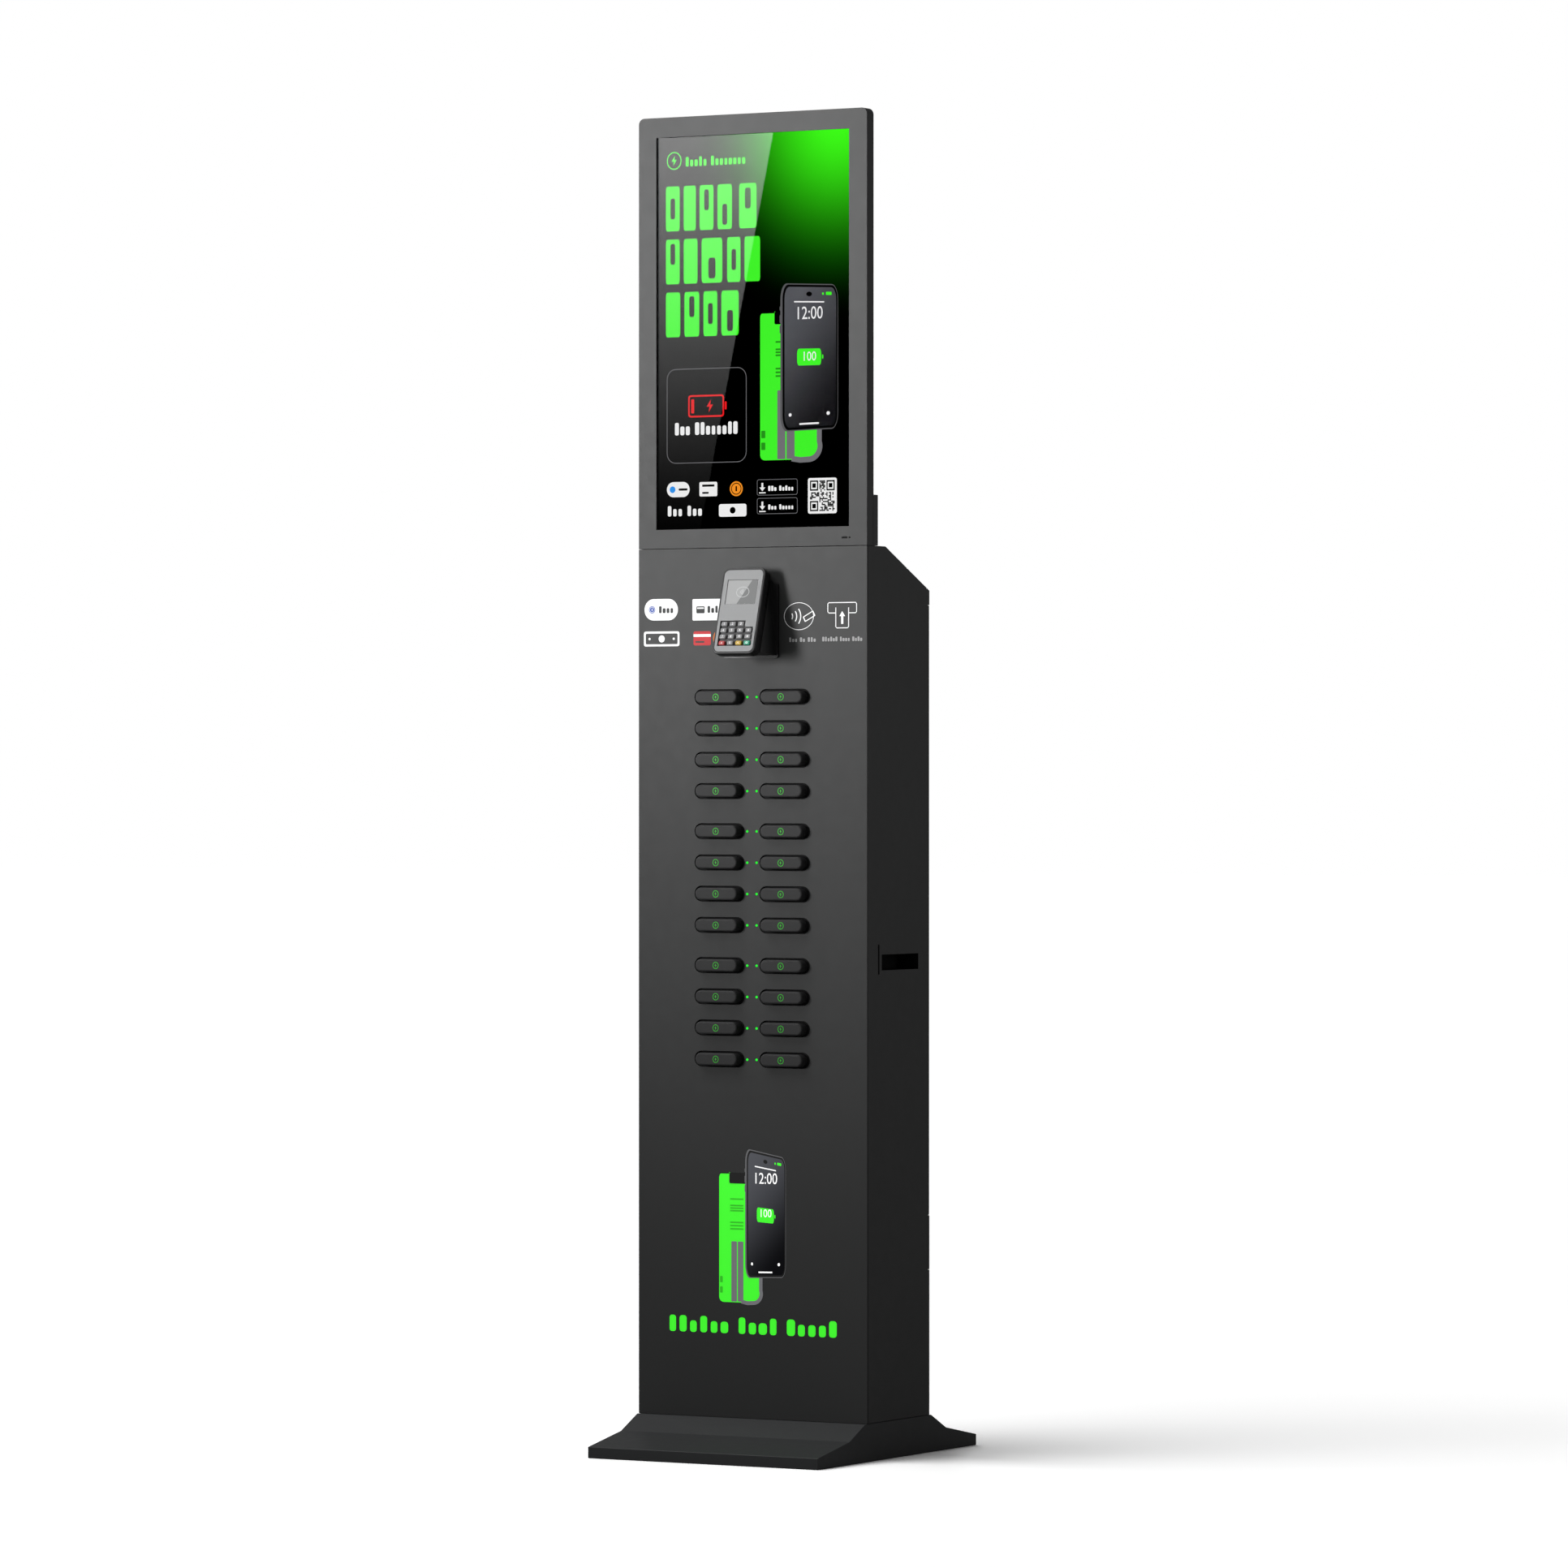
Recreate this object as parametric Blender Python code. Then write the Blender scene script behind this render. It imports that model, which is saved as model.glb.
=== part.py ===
"""Floor-standing phone charging kiosk: a steel cabinet with twenty-four rental power
banks, a portrait display head and a tilted payment terminal.

Metres, +Z up, front towards -Y, origin on the floor at the centre of the base."""

import math

import bmesh
import bpy
from mathutils import Vector

MM = 0.001
GAP = 0.3 * MM  # air left between pieces that touch on the real kiosk
WALL = 2.0 * MM  # sheet steel of the cabinet and the head

# Cabinet, in the kiosk's frame
WIDTH = 354 * MM
DEPTH = 172 * MM
HEIGHT = 1800 * MM
HALF = WIDTH / 2
FRONT = -DEPTH / 2
REAR = DEPTH / 2
CABINET_BOTTOM = 50.7 * MM
CABINET_TOP = 1218 * MM
CHAMFER_BOTTOM = 1162 * MM
TOP_FLAT_END = FRONT + 51 * MM  # where the flat top meets the rear chamfer
PANEL_THICK = 2.5 * MM
SHELL_FRONT = FRONT + 3.2 * MM

# Base: heights and how far each bend stands out from the cabinet's faces
BASE_TOP = 50.4 * MM
BASE_LIP = 5 * MM
BASE_KNEE_OUT, BASE_KNEE_Z = 47 * MM, 30.3 * MM
BASE_TOE_OUT, BASE_TOE_Z = 132 * MM, 15 * MM
BASE_FLOOR = 8 * MM

# Power bank bays: two columns, three groups of four rows
COLUMN_X = 50.4 * MM
TOP_ROW_Z = 1017.5 * MM
ROW_PITCH = 42 * MM
GROUP_PITCH = 180 * MM
GROUPS, ROWS = 3, 4
SLOT_WIDTH, SLOT_HEIGHT = 77.6 * MM, 21.3 * MM
BANK_WIDTH, BANK_HEIGHT, BANK_LENGTH = 65.3 * MM, 16.7 * MM, 148 * MM
BANK_PROUD = 10.5 * MM
BAY_CLEARANCE = 0.6 * MM
LED_X = 7.25 * MM
LED_RADIUS = 1.5 * MM
MODULE_FRONT = FRONT + PANEL_THICK + GAP
MODULE_DEPTH = 146 * MM

# Display head
HEAD_BOTTOM = CABINET_TOP + GAP
HEAD_DEPTH = 18 * MM
HEAD_CORNER = 8.5 * MM
SCREEN_HALF = 149.25 * MM
SCREEN_BOTTOM, SCREEN_TOP = 1244 * MM, 1773 * MM
MOUNT_BOX_TOP = 1286 * MM
MOUNT_BOX_REAR = FRONT + 30 * MM

# Rear door and inlet panel
DOOR_LEFT = -156.4 * MM
DOOR_BOTTOM, DOOR_TOP = 320.3 * MM, 1141.7 * MM
INLET_BOTTOM, INLET_TOP = 246.9 * MM, 319.7 * MM
COVER_INNER = 82.9 * MM
DOOR_REAR = 85.2 * MM
HINGE_X, HINGE_Y = -156.7 * MM, 90 * MM
HINGE_HEIGHTS = (430 * MM, 1032 * MM)
KNUCKLE_RADIUS, HINGE_PIN_RADIUS, HINGE_BORE_RADIUS = 3.8 * MM, 1.8 * MM, 2.2 * MM
DOOR_KNUCKLE, SHELL_KNUCKLE = 24 * MM, 14 * MM
LOCK_X, LOCK_Z = 140 * MM, 731 * MM
LOCK_RADIUS = 8 * MM
CAM_FRONT, CAM_REAR = 68 * MM, 70.5 * MM
SOCKET_X, SOCKET_Z = 43 * MM, 283.5 * MM
ROCKER_X, ROCKER_Y, ROCKER_Z = -20 * MM, 81.5 * MM, 283.5 * MM
ROCKER_TILT = math.radians(8)

# Hand grips in both sides
GRIP_Y, GRIP_Z = 4.25 * MM, 663 * MM
GRIP_LENGTH, GRIP_HEIGHT, GRIP_DEPTH = 100.5 * MM, 21 * MM, 33 * MM
SIDE_SLIT_Y, SIDE_SLIT_Z = -54.2 * MM, 667 * MM

# Payment terminal, in the frame of its tilted face
TERMINAL_CENTRE = (0, -121 * MM, 1132.65 * MM)
TERMINAL_TILT = math.radians(16)
FACE_WIDTH, FACE_LENGTH, FACE_THICK, FACE_CORNER = 62 * MM, 116.5 * MM, 2.2 * MM, 7 * MM
BODY_WIDTH, BODY_LENGTH, BODY_REAR = 65.6 * MM, 120 * MM, 18.5 * MM
SCREEN_WINDOW = (47 * MM, 34.5 * MM, 26.2 * MM)  # width, height, centre height
KEY_PITCH_X, KEY_PITCH_Z = 12.9 * MM, 8.8 * MM
KEY_WIDTH, KEY_HEIGHT = 9.9 * MM, 6.1 * MM
KEYPAD_Z = -31.5 * MM
KEY_TRAVEL = 1 * MM
KEY_ROWS = (
    ("1", "2", "3"),
    ("4", "5", "6", "menu"),
    ("7", "8", "9", "alpha"),
    ("cancel", "0", "clear", "enter"),
)


# Materials ---------------------------------------------------------------------------


def new_material(name, colour, roughness, metallic=0.0):
    material = bpy.data.materials.new(name)
    material.use_nodes = True
    shader = material.node_tree.nodes["Principled BSDF"]
    shader.inputs["Base Color"].default_value = (*colour, 1)
    shader.inputs["Roughness"].default_value = roughness
    shader.inputs["Metallic"].default_value = metallic
    return material


def make_materials():
    return {
        "powder_coat": new_material("powder_coat", (0.045, 0.047, 0.047), 0.5),
        "bank_plastic": new_material("bank_plastic", (0.03, 0.03, 0.031), 0.45),
        "module_plastic": new_material("module_plastic", (0.012, 0.012, 0.012), 0.6),
        "screen_glass": new_material("screen_glass", (0.01, 0.01, 0.01), 0.05),
        "panel_metal": new_material("panel_metal", (0.55, 0.56, 0.57), 0.35, 1.0),
        "terminal_black": new_material("terminal_black", (0.015, 0.015, 0.016), 0.4),
        "terminal_grey": new_material("terminal_grey", (0.3, 0.31, 0.31), 0.35),
        "key_grey": new_material("key_grey", (0.42, 0.43, 0.43), 0.4),
        "circuit_board": new_material("circuit_board", (0.01, 0.12, 0.05), 0.5),
        "lock_chrome": new_material("lock_chrome", (0.7, 0.7, 0.7), 0.2, 1.0),
    }


# Shape helpers -----------------------------------------------------------------------


def add_object(name, bm, material=None, parent=None, location=(0, 0, 0)):
    mesh = bpy.data.meshes.new(name)
    bm.to_mesh(mesh)
    bm.free()
    mesh.shade_smooth()
    mesh.set_sharp_from_angle(angle=math.radians(35))
    obj = bpy.data.objects.new(name, mesh)
    bpy.context.scene.collection.objects.link(obj)
    obj.location = location
    obj.parent = parent
    if material:
        mesh.materials.append(material)
    return obj


def add_empty(name, location, tilt=0.0):
    empty = bpy.data.objects.new(name, None)
    bpy.context.scene.collection.objects.link(empty)
    empty.location = location
    empty.rotation_euler.x = tilt
    return empty


def combine(obj, operation, bm):
    """Boolean of obj with the solids in bm, which lie in obj's own frame."""
    tool = add_object(f"{obj.name}_{operation.lower()}", bm)
    tool.parent = obj
    tool.hide_render = True
    tool.display_type = "WIRE"
    modifier = obj.modifiers.new(operation.title(), "BOOLEAN")
    modifier.operation = operation
    modifier.object = tool


def round_edges(obj, width, segments=2, angle=30):
    modifier = obj.modifiers.new("Bevel", "BEVEL")
    modifier.width = width
    modifier.segments = segments
    modifier.limit_method = "ANGLE"
    modifier.angle_limit = math.radians(angle)


def prism(bm, outline, axis, low, high):
    """Closed prism over a 2-D outline, between two places along the axis."""
    place = {
        "X": lambda a, b, c: (c, a, b),
        "Y": lambda a, b, c: (a, c, b),
        "Z": lambda a, b, c: (a, b, c),
    }[axis]
    near = [bm.verts.new(place(a, b, low)) for a, b in outline]
    far = [bm.verts.new(place(a, b, high)) for a, b in outline]
    loft_faces(bm, [near, far])


def loft_faces(bm, rings):
    """Skin rings of equal length and cap both ends, facing outwards."""
    faces = [bm.faces.new(rings[0]), bm.faces.new(rings[-1])]
    for low, high in zip(rings, rings[1:]):
        for i in range(len(low)):
            j = (i + 1) % len(low)
            faces.append(bm.faces.new((low[i], low[j], high[j], high[i])))
    bmesh.ops.recalc_face_normals(bm, faces=faces)


def box(bm, x, y, z):
    """Box between the two ends given for each axis."""
    prism(bm, [(x[0], y[0]), (x[1], y[0]), (x[1], y[1]), (x[0], y[1])], "Z", z[0], z[1])


def rounded(width, height, radius, steps=4, centre=(0, 0)):
    """Rectangle with round corners, anticlockwise; a radius of half the height makes a
    stadium."""
    points = []
    for quarter, (right, up) in enumerate(((1, 1), (-1, 1), (-1, -1), (1, -1))):
        for step in range(steps + 1):
            angle = math.radians(90) * (quarter + step / steps)
            point = Vector(
                (
                    centre[0] + right * (width / 2 - radius) + radius * math.cos(angle),
                    centre[1] + up * (height / 2 - radius) + radius * math.sin(angle),
                )
            )
            if not points or (point - points[-1]).length > 1e-6:
                points.append(point)
    if (points[0] - points[-1]).length < 1e-6:
        points.pop()
    return [tuple(point) for point in points]


def circle(radius, centre=(0, 0), count=16):
    turn = math.tau / count
    return [
        (centre[0] + radius * math.cos(i * turn), centre[1] + radius * math.sin(i * turn))
        for i in range(count)
    ]


def spread(middle, size):
    """Both ends of a length about its middle."""
    return (middle - size / 2, middle + size / 2)


def row_height(group, row):
    return TOP_ROW_Z - group * GROUP_PITCH - row * ROW_PITCH


# Base and cabinet --------------------------------------------------------------------


def base_outline(wall=0.0):
    """Cross-section of the base, or of its hollow when a wall is given."""
    bottom = BASE_FLOOR if wall else 0.0
    half = [
        (DEPTH / 2 + BASE_TOE_OUT - 1.3 * wall, bottom),
        (DEPTH / 2 + BASE_TOE_OUT - 1.3 * wall, BASE_TOE_Z - wall),
        (DEPTH / 2 + BASE_KNEE_OUT - wall / 2, BASE_KNEE_Z - 1.1 * wall),
        (DEPTH / 2 + BASE_LIP - wall / 2, BASE_TOP - wall),
    ]
    return half + [(-y, z) for y, z in reversed(half)]


def base_plinth(mats):
    bm = bmesh.new()
    prism(bm, base_outline(), "X", -HALF, HALF)
    plinth = add_object("base_plinth", bm, mats["powder_coat"])
    round_edges(plinth, 0.8 * MM, angle=12)
    hollow = bmesh.new()
    prism(hollow, base_outline(3 * MM), "X", 3 * MM - HALF, HALF - 3 * MM)
    combine(plinth, "DIFFERENCE", hollow)
    hatch = bmesh.new()
    prism(hatch, rounded(300 * MM, 130 * MM, 6 * MM), "Z", 20 * MM, 60 * MM)
    combine(plinth, "DIFFERENCE", hatch)


def cabinet_shell(mats):
    bm = bmesh.new()
    outline = [
        (SHELL_FRONT, CABINET_BOTTOM),
        (REAR, CABINET_BOTTOM),
        (REAR, CHAMFER_BOTTOM),
        (TOP_FLAT_END, CABINET_TOP),
        (SHELL_FRONT, CABINET_TOP),
    ]
    prism(bm, outline, "X", -HALF, HALF)
    shell = add_object("cabinet_shell", bm, mats["powder_coat"])
    round_edges(shell, 0.6 * MM, segments=1)
    combine(shell, "DIFFERENCE", shell_hollow())
    combine(shell, "DIFFERENCE", shell_openings())
    combine(shell, "UNION", shell_fittings())
    combine(shell, "DIFFERENCE", grip_hollows())


def shell_hollow():
    """The space inside the walls, behind a flange that carries the front panel."""
    bm = bmesh.new()
    outline = [
        (SHELL_FRONT + WALL, CABINET_BOTTOM + WALL),
        (REAR - WALL, CABINET_BOTTOM + WALL),
        (REAR - WALL, CHAMFER_BOTTOM - 0.8 * MM),
        (TOP_FLAT_END - 0.8 * MM, CABINET_TOP - WALL),
        (SHELL_FRONT + WALL, CABINET_TOP - WALL),
    ]
    prism(bm, outline, "X", WALL - HALF, HALF - WALL)
    return bm


def shell_openings():
    bm = bmesh.new()
    box(bm, (-160 * MM, 160 * MM), (FRONT - 5 * MM, SHELL_FRONT + 3 * MM), (70 * MM, 1200 * MM))
    cut_x = (DOOR_LEFT - 0.6 * MM, HALF + 5 * MM)
    cut_z = (INLET_BOTTOM - 0.6 * MM, DOOR_TOP + 0.6 * MM)
    box(bm, cut_x, (COVER_INNER - 0.9 * MM, REAR + 5 * MM), cut_z)
    cable_y = FRONT + 24 * MM
    box(bm, (-50 * MM, 50 * MM), spread(cable_y, 7 * MM), spread(CABINET_TOP, 12 * MM))
    box(bm, (-60 * MM, 60 * MM), (-30 * MM, 30 * MM), spread(CABINET_BOTTOM, 12 * MM))
    for side in (-1, 1):
        slit = rounded(4 * MM, 40 * MM, 1 * MM, 2, (SIDE_SLIT_Y, SIDE_SLIT_Z))
        prism(bm, slit, "X", *sorted((side * (HALF - 5 * MM), side * (HALF + 5 * MM))))
    return bm


def shell_fittings():
    """Grip pockets, a rail under the door, the lock's strike and the hinge knuckles."""
    bm = bmesh.new()
    for side in (-1, 1):
        ends = sorted((side * (HALF - 1 * MM), side * (HALF - GRIP_DEPTH - WALL)))
        outer = (GRIP_LENGTH + 2 * WALL, GRIP_HEIGHT + 2 * WALL)
        box(bm, ends, spread(GRIP_Y, outer[0]), spread(GRIP_Z, outer[1]))
    rail_x = (1 * MM - HALF, HALF - 1 * MM)
    box(bm, rail_x, (79.5 * MM, 81.5 * MM), (312 * MM, 328 * MM))
    box(bm, (160 * MM, HALF - 1 * MM), (73 * MM, 75 * MM), (335 * MM, 1130 * MM))
    for height in HINGE_HEIGHTS:
        shell_knuckles(bm, height)
    return bm


def shell_knuckles(bm, height):
    """Two knuckles on the cabinet's jamb, one above and one below the door's, with the
    pin that joins them."""
    near = DOOR_KNUCKLE / 2 + 0.4 * MM
    reach = near + SHELL_KNUCKLE
    leaf_x = (-172 * MM, HINGE_X - 1.3 * MM)
    barrel = circle(KNUCKLE_RADIUS, (HINGE_X, HINGE_Y))
    pin = circle(HINGE_PIN_RADIUS, (HINGE_X, HINGE_Y), 12)
    piece = bmesh.new()
    mesh_rings(piece, [(barrel, height - reach), (barrel, height - near)])
    mesh_rings(piece, [(barrel, height + near), (barrel, height + reach)])
    piece_object = add_object(f"hinge_barrels_{round(height / MM)}", piece)
    leaves = bmesh.new()
    for low, high in ((-reach, -near), (near, reach)):
        box(leaves, leaf_x, (85.5 * MM, 87.8 * MM), (height + low, height + high))
    combine(piece_object, "UNION", leaves)
    core = bmesh.new()
    mesh_rings(core, [(pin, height - reach + 2 * MM), (pin, height + reach - 2 * MM)])
    combine(piece_object, "UNION", core)
    add_evaluated(bm, piece_object)


def mesh_rings(bm, rings):
    """Upright loft through (outline, height) pairs."""
    loft_faces(bm, [[bm.verts.new((x, y, z)) for x, y in outline] for outline, z in rings])


def add_evaluated(bm, obj):
    """Add the object's shape, with its modifiers, to bm and remove the object."""
    depsgraph = bpy.context.evaluated_depsgraph_get()
    bm.from_mesh(obj.evaluated_get(depsgraph).data)
    for tool in list(obj.children):
        bpy.data.objects.remove(tool)
    bpy.data.objects.remove(obj)


def grip_hollows():
    bm = bmesh.new()
    for side in (-1, 1):
        ends = sorted((side * (HALF + 5 * MM), side * (HALF - GRIP_DEPTH)))
        box(bm, ends, spread(GRIP_Y, GRIP_LENGTH), spread(GRIP_Z, GRIP_HEIGHT))
    return bm


def front_panel(mats):
    bm = bmesh.new()
    box(bm, (-HALF, HALF), (FRONT, FRONT + PANEL_THICK), (CABINET_BOTTOM, CABINET_TOP - GAP))
    panel = add_object("front_panel", bm, mats["powder_coat"])
    round_edges(panel, 0.9 * MM)
    holes = bmesh.new()
    through = (FRONT - 5 * MM, FRONT + PANEL_THICK + 5 * MM)
    for group in range(GROUPS):
        for row in range(ROWS):
            height = row_height(group, row)
            for side in (-1, 1):
                centre = (side * COLUMN_X, height)
                slot = rounded(SLOT_WIDTH, SLOT_HEIGHT, SLOT_HEIGHT / 2, 4, centre)
                prism(holes, slot, "Y", *through)
                led = circle(LED_RADIUS + 0.4 * MM, (side * LED_X, height), 8)
                prism(holes, led, "Y", *through)
    box(holes, (-15 * MM, 15 * MM), through, (1105 * MM, 1120 * MM))
    combine(panel, "DIFFERENCE", holes)


# Power banks and their bays ----------------------------------------------------------


def slot_module(name, group, mats):
    """Charging module with eight bays, and a light pipe beside each bay."""
    top, bottom = row_height(group, 0), row_height(group, ROWS - 1)
    middle = (top + bottom) / 2
    bm = bmesh.new()
    depth = (MODULE_FRONT, MODULE_FRONT + MODULE_DEPTH)
    box(bm, (-96 * MM, 96 * MM), depth, spread(middle, GROUP_PITCH - 2 * MM))
    module = add_object(name, bm, mats["module_plastic"])
    bays, pipes = bmesh.new(), bmesh.new()
    bay_end = FRONT - BANK_PROUD + BANK_LENGTH + 3 * MM
    for row in range(ROWS):
        height = row_height(group, row)
        for side in (-1, 1):
            bay = rounded(
                BANK_WIDTH + 2 * BAY_CLEARANCE,
                BANK_HEIGHT + 2 * BAY_CLEARANCE,
                BANK_HEIGHT / 2 + BAY_CLEARANCE,
                3,
                (side * COLUMN_X, height),
            )
            prism(bays, bay, "Y", MODULE_FRONT - 5 * MM, bay_end)
            pipe = circle(LED_RADIUS, (side * LED_X, height), 8)
            prism(pipes, pipe, "Y", FRONT - 0.4 * MM, MODULE_FRONT + 2 * MM)
    combine(module, "DIFFERENCE", bays)
    combine(module, "UNION", pipes)


def power_bank_mesh(material):
    """One bank, lying along +Y from its rounded front face at the origin."""
    bm = bmesh.new()
    rings = []
    for inset, depth in ((2.6, 0), (0.8, 0.9), (0, 2.8), (0, 148)):
        inset *= MM
        outline = rounded(
            BANK_WIDTH - 2 * inset, BANK_HEIGHT - 2 * inset, BANK_HEIGHT / 2 - inset, 3
        )
        rings.append([bm.verts.new((x, depth * MM, z)) for x, z in outline])
    loft_faces(bm, rings)
    mesh = bpy.data.meshes.new("power_bank")
    bm.to_mesh(mesh)
    bm.free()
    mesh.shade_smooth()
    mesh.set_sharp_from_angle(angle=math.radians(35))
    mesh.materials.append(material)
    return mesh


def power_banks(mats):
    mesh = power_bank_mesh(mats["bank_plastic"])
    for side, label in ((-1, "left"), (1, "right")):
        for index in range(GROUPS * ROWS):
            name = f"power_bank_{label}_{index + 1:02d}"
            bank = bpy.data.objects.new(name, mesh)
            bpy.context.scene.collection.objects.link(bank)
            height = row_height(index // ROWS, index % ROWS)
            bank.location = (side * COLUMN_X, FRONT - BANK_PROUD, height)


# Display head ------------------------------------------------------------------------


def head_outline(inset=0.0):
    """The head's front outline: square at the bottom, round at the two top corners."""
    right, top = HALF - inset, HEIGHT - inset
    bottom, radius = HEAD_BOTTOM + inset, HEAD_CORNER - min(inset, HEAD_CORNER / 2)
    arc = [
        (right - radius + radius * math.cos(a), top - radius + radius * math.sin(a))
        for a in (math.radians(18 * step) for step in range(6))
    ]
    return [(right, bottom)] + arc + [(-x, z) for x, z in reversed(arc)] + [(-right, bottom)]


def display_frame(mats):
    bm = bmesh.new()
    prism(bm, head_outline(), "Y", FRONT, FRONT + HEAD_DEPTH - 2.3 * MM)
    frame = add_object("display_frame", bm, mats["powder_coat"])
    round_edges(frame, 0.9 * MM)
    hollow = bmesh.new()
    prism(hollow, head_outline(WALL), "Y", FRONT + WALL, FRONT + HEAD_DEPTH + 5 * MM)
    combine(frame, "DIFFERENCE", hollow)
    window = bmesh.new()
    through = (FRONT - 5 * MM, FRONT + 5 * MM)
    box(window, (-SCREEN_HALF, SCREEN_HALF), through, (SCREEN_BOTTOM, SCREEN_TOP))
    sensor = rounded(9 * MM, 2.3 * MM, 1.15 * MM, 2, (142.5 * MM, 1229 * MM))
    prism(window, sensor, "Y", *through)
    prism(window, circle(1.15 * MM, (150.3 * MM, 1229 * MM), 8), "Y", *through)
    combine(frame, "DIFFERENCE", window)


def display_glass(mats):
    bm = bmesh.new()
    height = (SCREEN_BOTTOM - 6 * MM, SCREEN_TOP + 6 * MM)
    glass_y = (FRONT + WALL + GAP, FRONT + WALL + GAP + 3 * MM)
    box(bm, (-SCREEN_HALF - 6 * MM, SCREEN_HALF + 6 * MM), glass_y, height)
    add_object("display_glass", bm, mats["screen_glass"])


def lcd_panel(mats):
    bm = bmesh.new()
    height = (SCREEN_BOTTOM - 9 * MM, SCREEN_TOP + 9 * MM)
    front = FRONT + WALL + 3 * MM + 2 * GAP
    box(bm, (-SCREEN_HALF - 9 * MM, SCREEN_HALF + 9 * MM), (front, front + 7 * MM), height)
    panel = add_object("lcd_panel", bm, mats["panel_metal"])
    driver = bmesh.new()
    box(driver, (-90 * MM, 90 * MM), (front + 6 * MM, front + 9.3 * MM), (1300 * MM, 1400 * MM))
    combine(panel, "UNION", driver)


def display_rear_cover(mats):
    bm = bmesh.new()
    thin = (FRONT + HEAD_DEPTH - 2 * MM, FRONT + HEAD_DEPTH)
    prism(bm, head_outline(), "Y", *thin)
    cover = add_object("display_rear_cover", bm, mats["powder_coat"])
    vents = bmesh.new()
    for side in (-1, 1):
        for index in range(10):
            slot_z = spread((1560 + 12 * index) * MM, 3 * MM)
            box(vents, spread(side * 60 * MM, 70 * MM), spread(thin[0], 20 * MM), slot_z)
    box(vents, (-45 * MM, 45 * MM), spread(thin[0], 20 * MM), (1232 * MM, 1262 * MM))
    combine(cover, "DIFFERENCE", vents)


def display_mount_box(mats):
    """Hollow cross-beam that ties the head to the cabinet and carries its cables."""
    bm = bmesh.new()
    front = FRONT + HEAD_DEPTH + GAP
    box(bm, (-HALF, HALF), (front, MOUNT_BOX_REAR), (HEAD_BOTTOM, MOUNT_BOX_TOP))
    beam = add_object("display_mount_box", bm, mats["powder_coat"])
    round_edges(beam, 0.6 * MM, segments=1)
    hollow = bmesh.new()
    across = (WALL - HALF, HALF - WALL)
    inner_z = (HEAD_BOTTOM + WALL, MOUNT_BOX_TOP - WALL)
    box(hollow, across, (front - 5 * MM, MOUNT_BOX_REAR - WALL), inner_z)
    combine(beam, "DIFFERENCE", hollow)
    cable = bmesh.new()
    cable_y = FRONT + 24 * MM
    box(cable, (-50 * MM, 50 * MM), spread(cable_y, 6 * MM), spread(HEAD_BOTTOM, 12 * MM))
    combine(beam, "DIFFERENCE", cable)


# Payment terminal --------------------------------------------------------------------


def terminal_point(along, behind):
    """(y, z) of a place given along the terminal's face and behind it."""
    c, s = math.cos(TERMINAL_TILT), math.sin(TERMINAL_TILT)
    return (
        TERMINAL_CENTRE[1] + behind * c + along * s,
        TERMINAL_CENTRE[2] - behind * s + along * c,
    )


def terminal_bracket(mats):
    """Flange on the front panel with a tapered wedge that tilts the terminal."""
    back = FRONT - GAP
    bm = bmesh.new()
    flange = rounded(84 * MM, 100 * MM, 3 * MM, 2, (0, 1119.5 * MM))
    prism(bm, flange, "Y", back - 2.5 * MM, back)
    bracket = add_object("terminal_bracket", bm, mats["terminal_black"])
    wedge = bmesh.new()
    low, high = terminal_point(-53 * MM, BODY_REAR + GAP), terminal_point(49 * MM, BODY_REAR + GAP)
    root_y = back - 1.2 * MM
    front_half, root_half = 31 * MM, 39.5 * MM
    rings = [
        [(-front_half, *low), (front_half, *low), (front_half, *high), (-front_half, *high)],
        [
            (-root_half, root_y, 1073 * MM),
            (root_half, root_y, 1073 * MM),
            (root_half, root_y, 1165 * MM),
            (-root_half, root_y, 1165 * MM),
        ],
    ]
    loft_faces(wedge, [[wedge.verts.new(p) for p in ring] for ring in rings])
    combine(bracket, "UNION", wedge)
    cable = bmesh.new()
    box(cable, (-12 * MM, 12 * MM), (FRONT - 12 * MM, FRONT + 5 * MM), (1107 * MM, 1118 * MM))
    combine(bracket, "DIFFERENCE", cable)


def terminal_body(mats, tilt):
    bm = bmesh.new()
    rings = []
    for inset, behind in ((0, 0.6), (0, 15), (3.5, 18.5)):
        outline = rounded(
            BODY_WIDTH - 2 * inset * MM,
            BODY_LENGTH - 2 * inset * MM,
            (8.8 - inset) * MM,
            4,
        )
        rings.append([bm.verts.new((x, behind * MM, z)) for x, z in outline])
    loft_faces(bm, rings)
    body = add_object("terminal_body", bm, mats["terminal_black"], tilt)
    cuts = bmesh.new()
    seat = rounded(FACE_WIDTH + 2 * GAP, FACE_LENGTH + 2 * GAP, FACE_CORNER + GAP, 5)
    prism(cuts, seat, "Y", -5 * MM, FACE_THICK + GAP)
    combine(body, "DIFFERENCE", cuts)
    wells = bmesh.new()
    prism(wells, keypad_outline(), "Y", 0, 5.4 * MM)
    card_z = (-BODY_LENGTH / 2 - 5 * MM, 20 * MM - BODY_LENGTH / 2)
    box(wells, (-27.5 * MM, 27.5 * MM), (8 * MM, 9.6 * MM), card_z)
    swipe_x = (BODY_WIDTH / 2 - 2.5 * MM, BODY_WIDTH / 2 + 5 * MM)
    box(wells, swipe_x, (12.4 * MM, 13.6 * MM), (8 * MM, 44 * MM))
    combine(body, "DIFFERENCE", wells)


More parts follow.
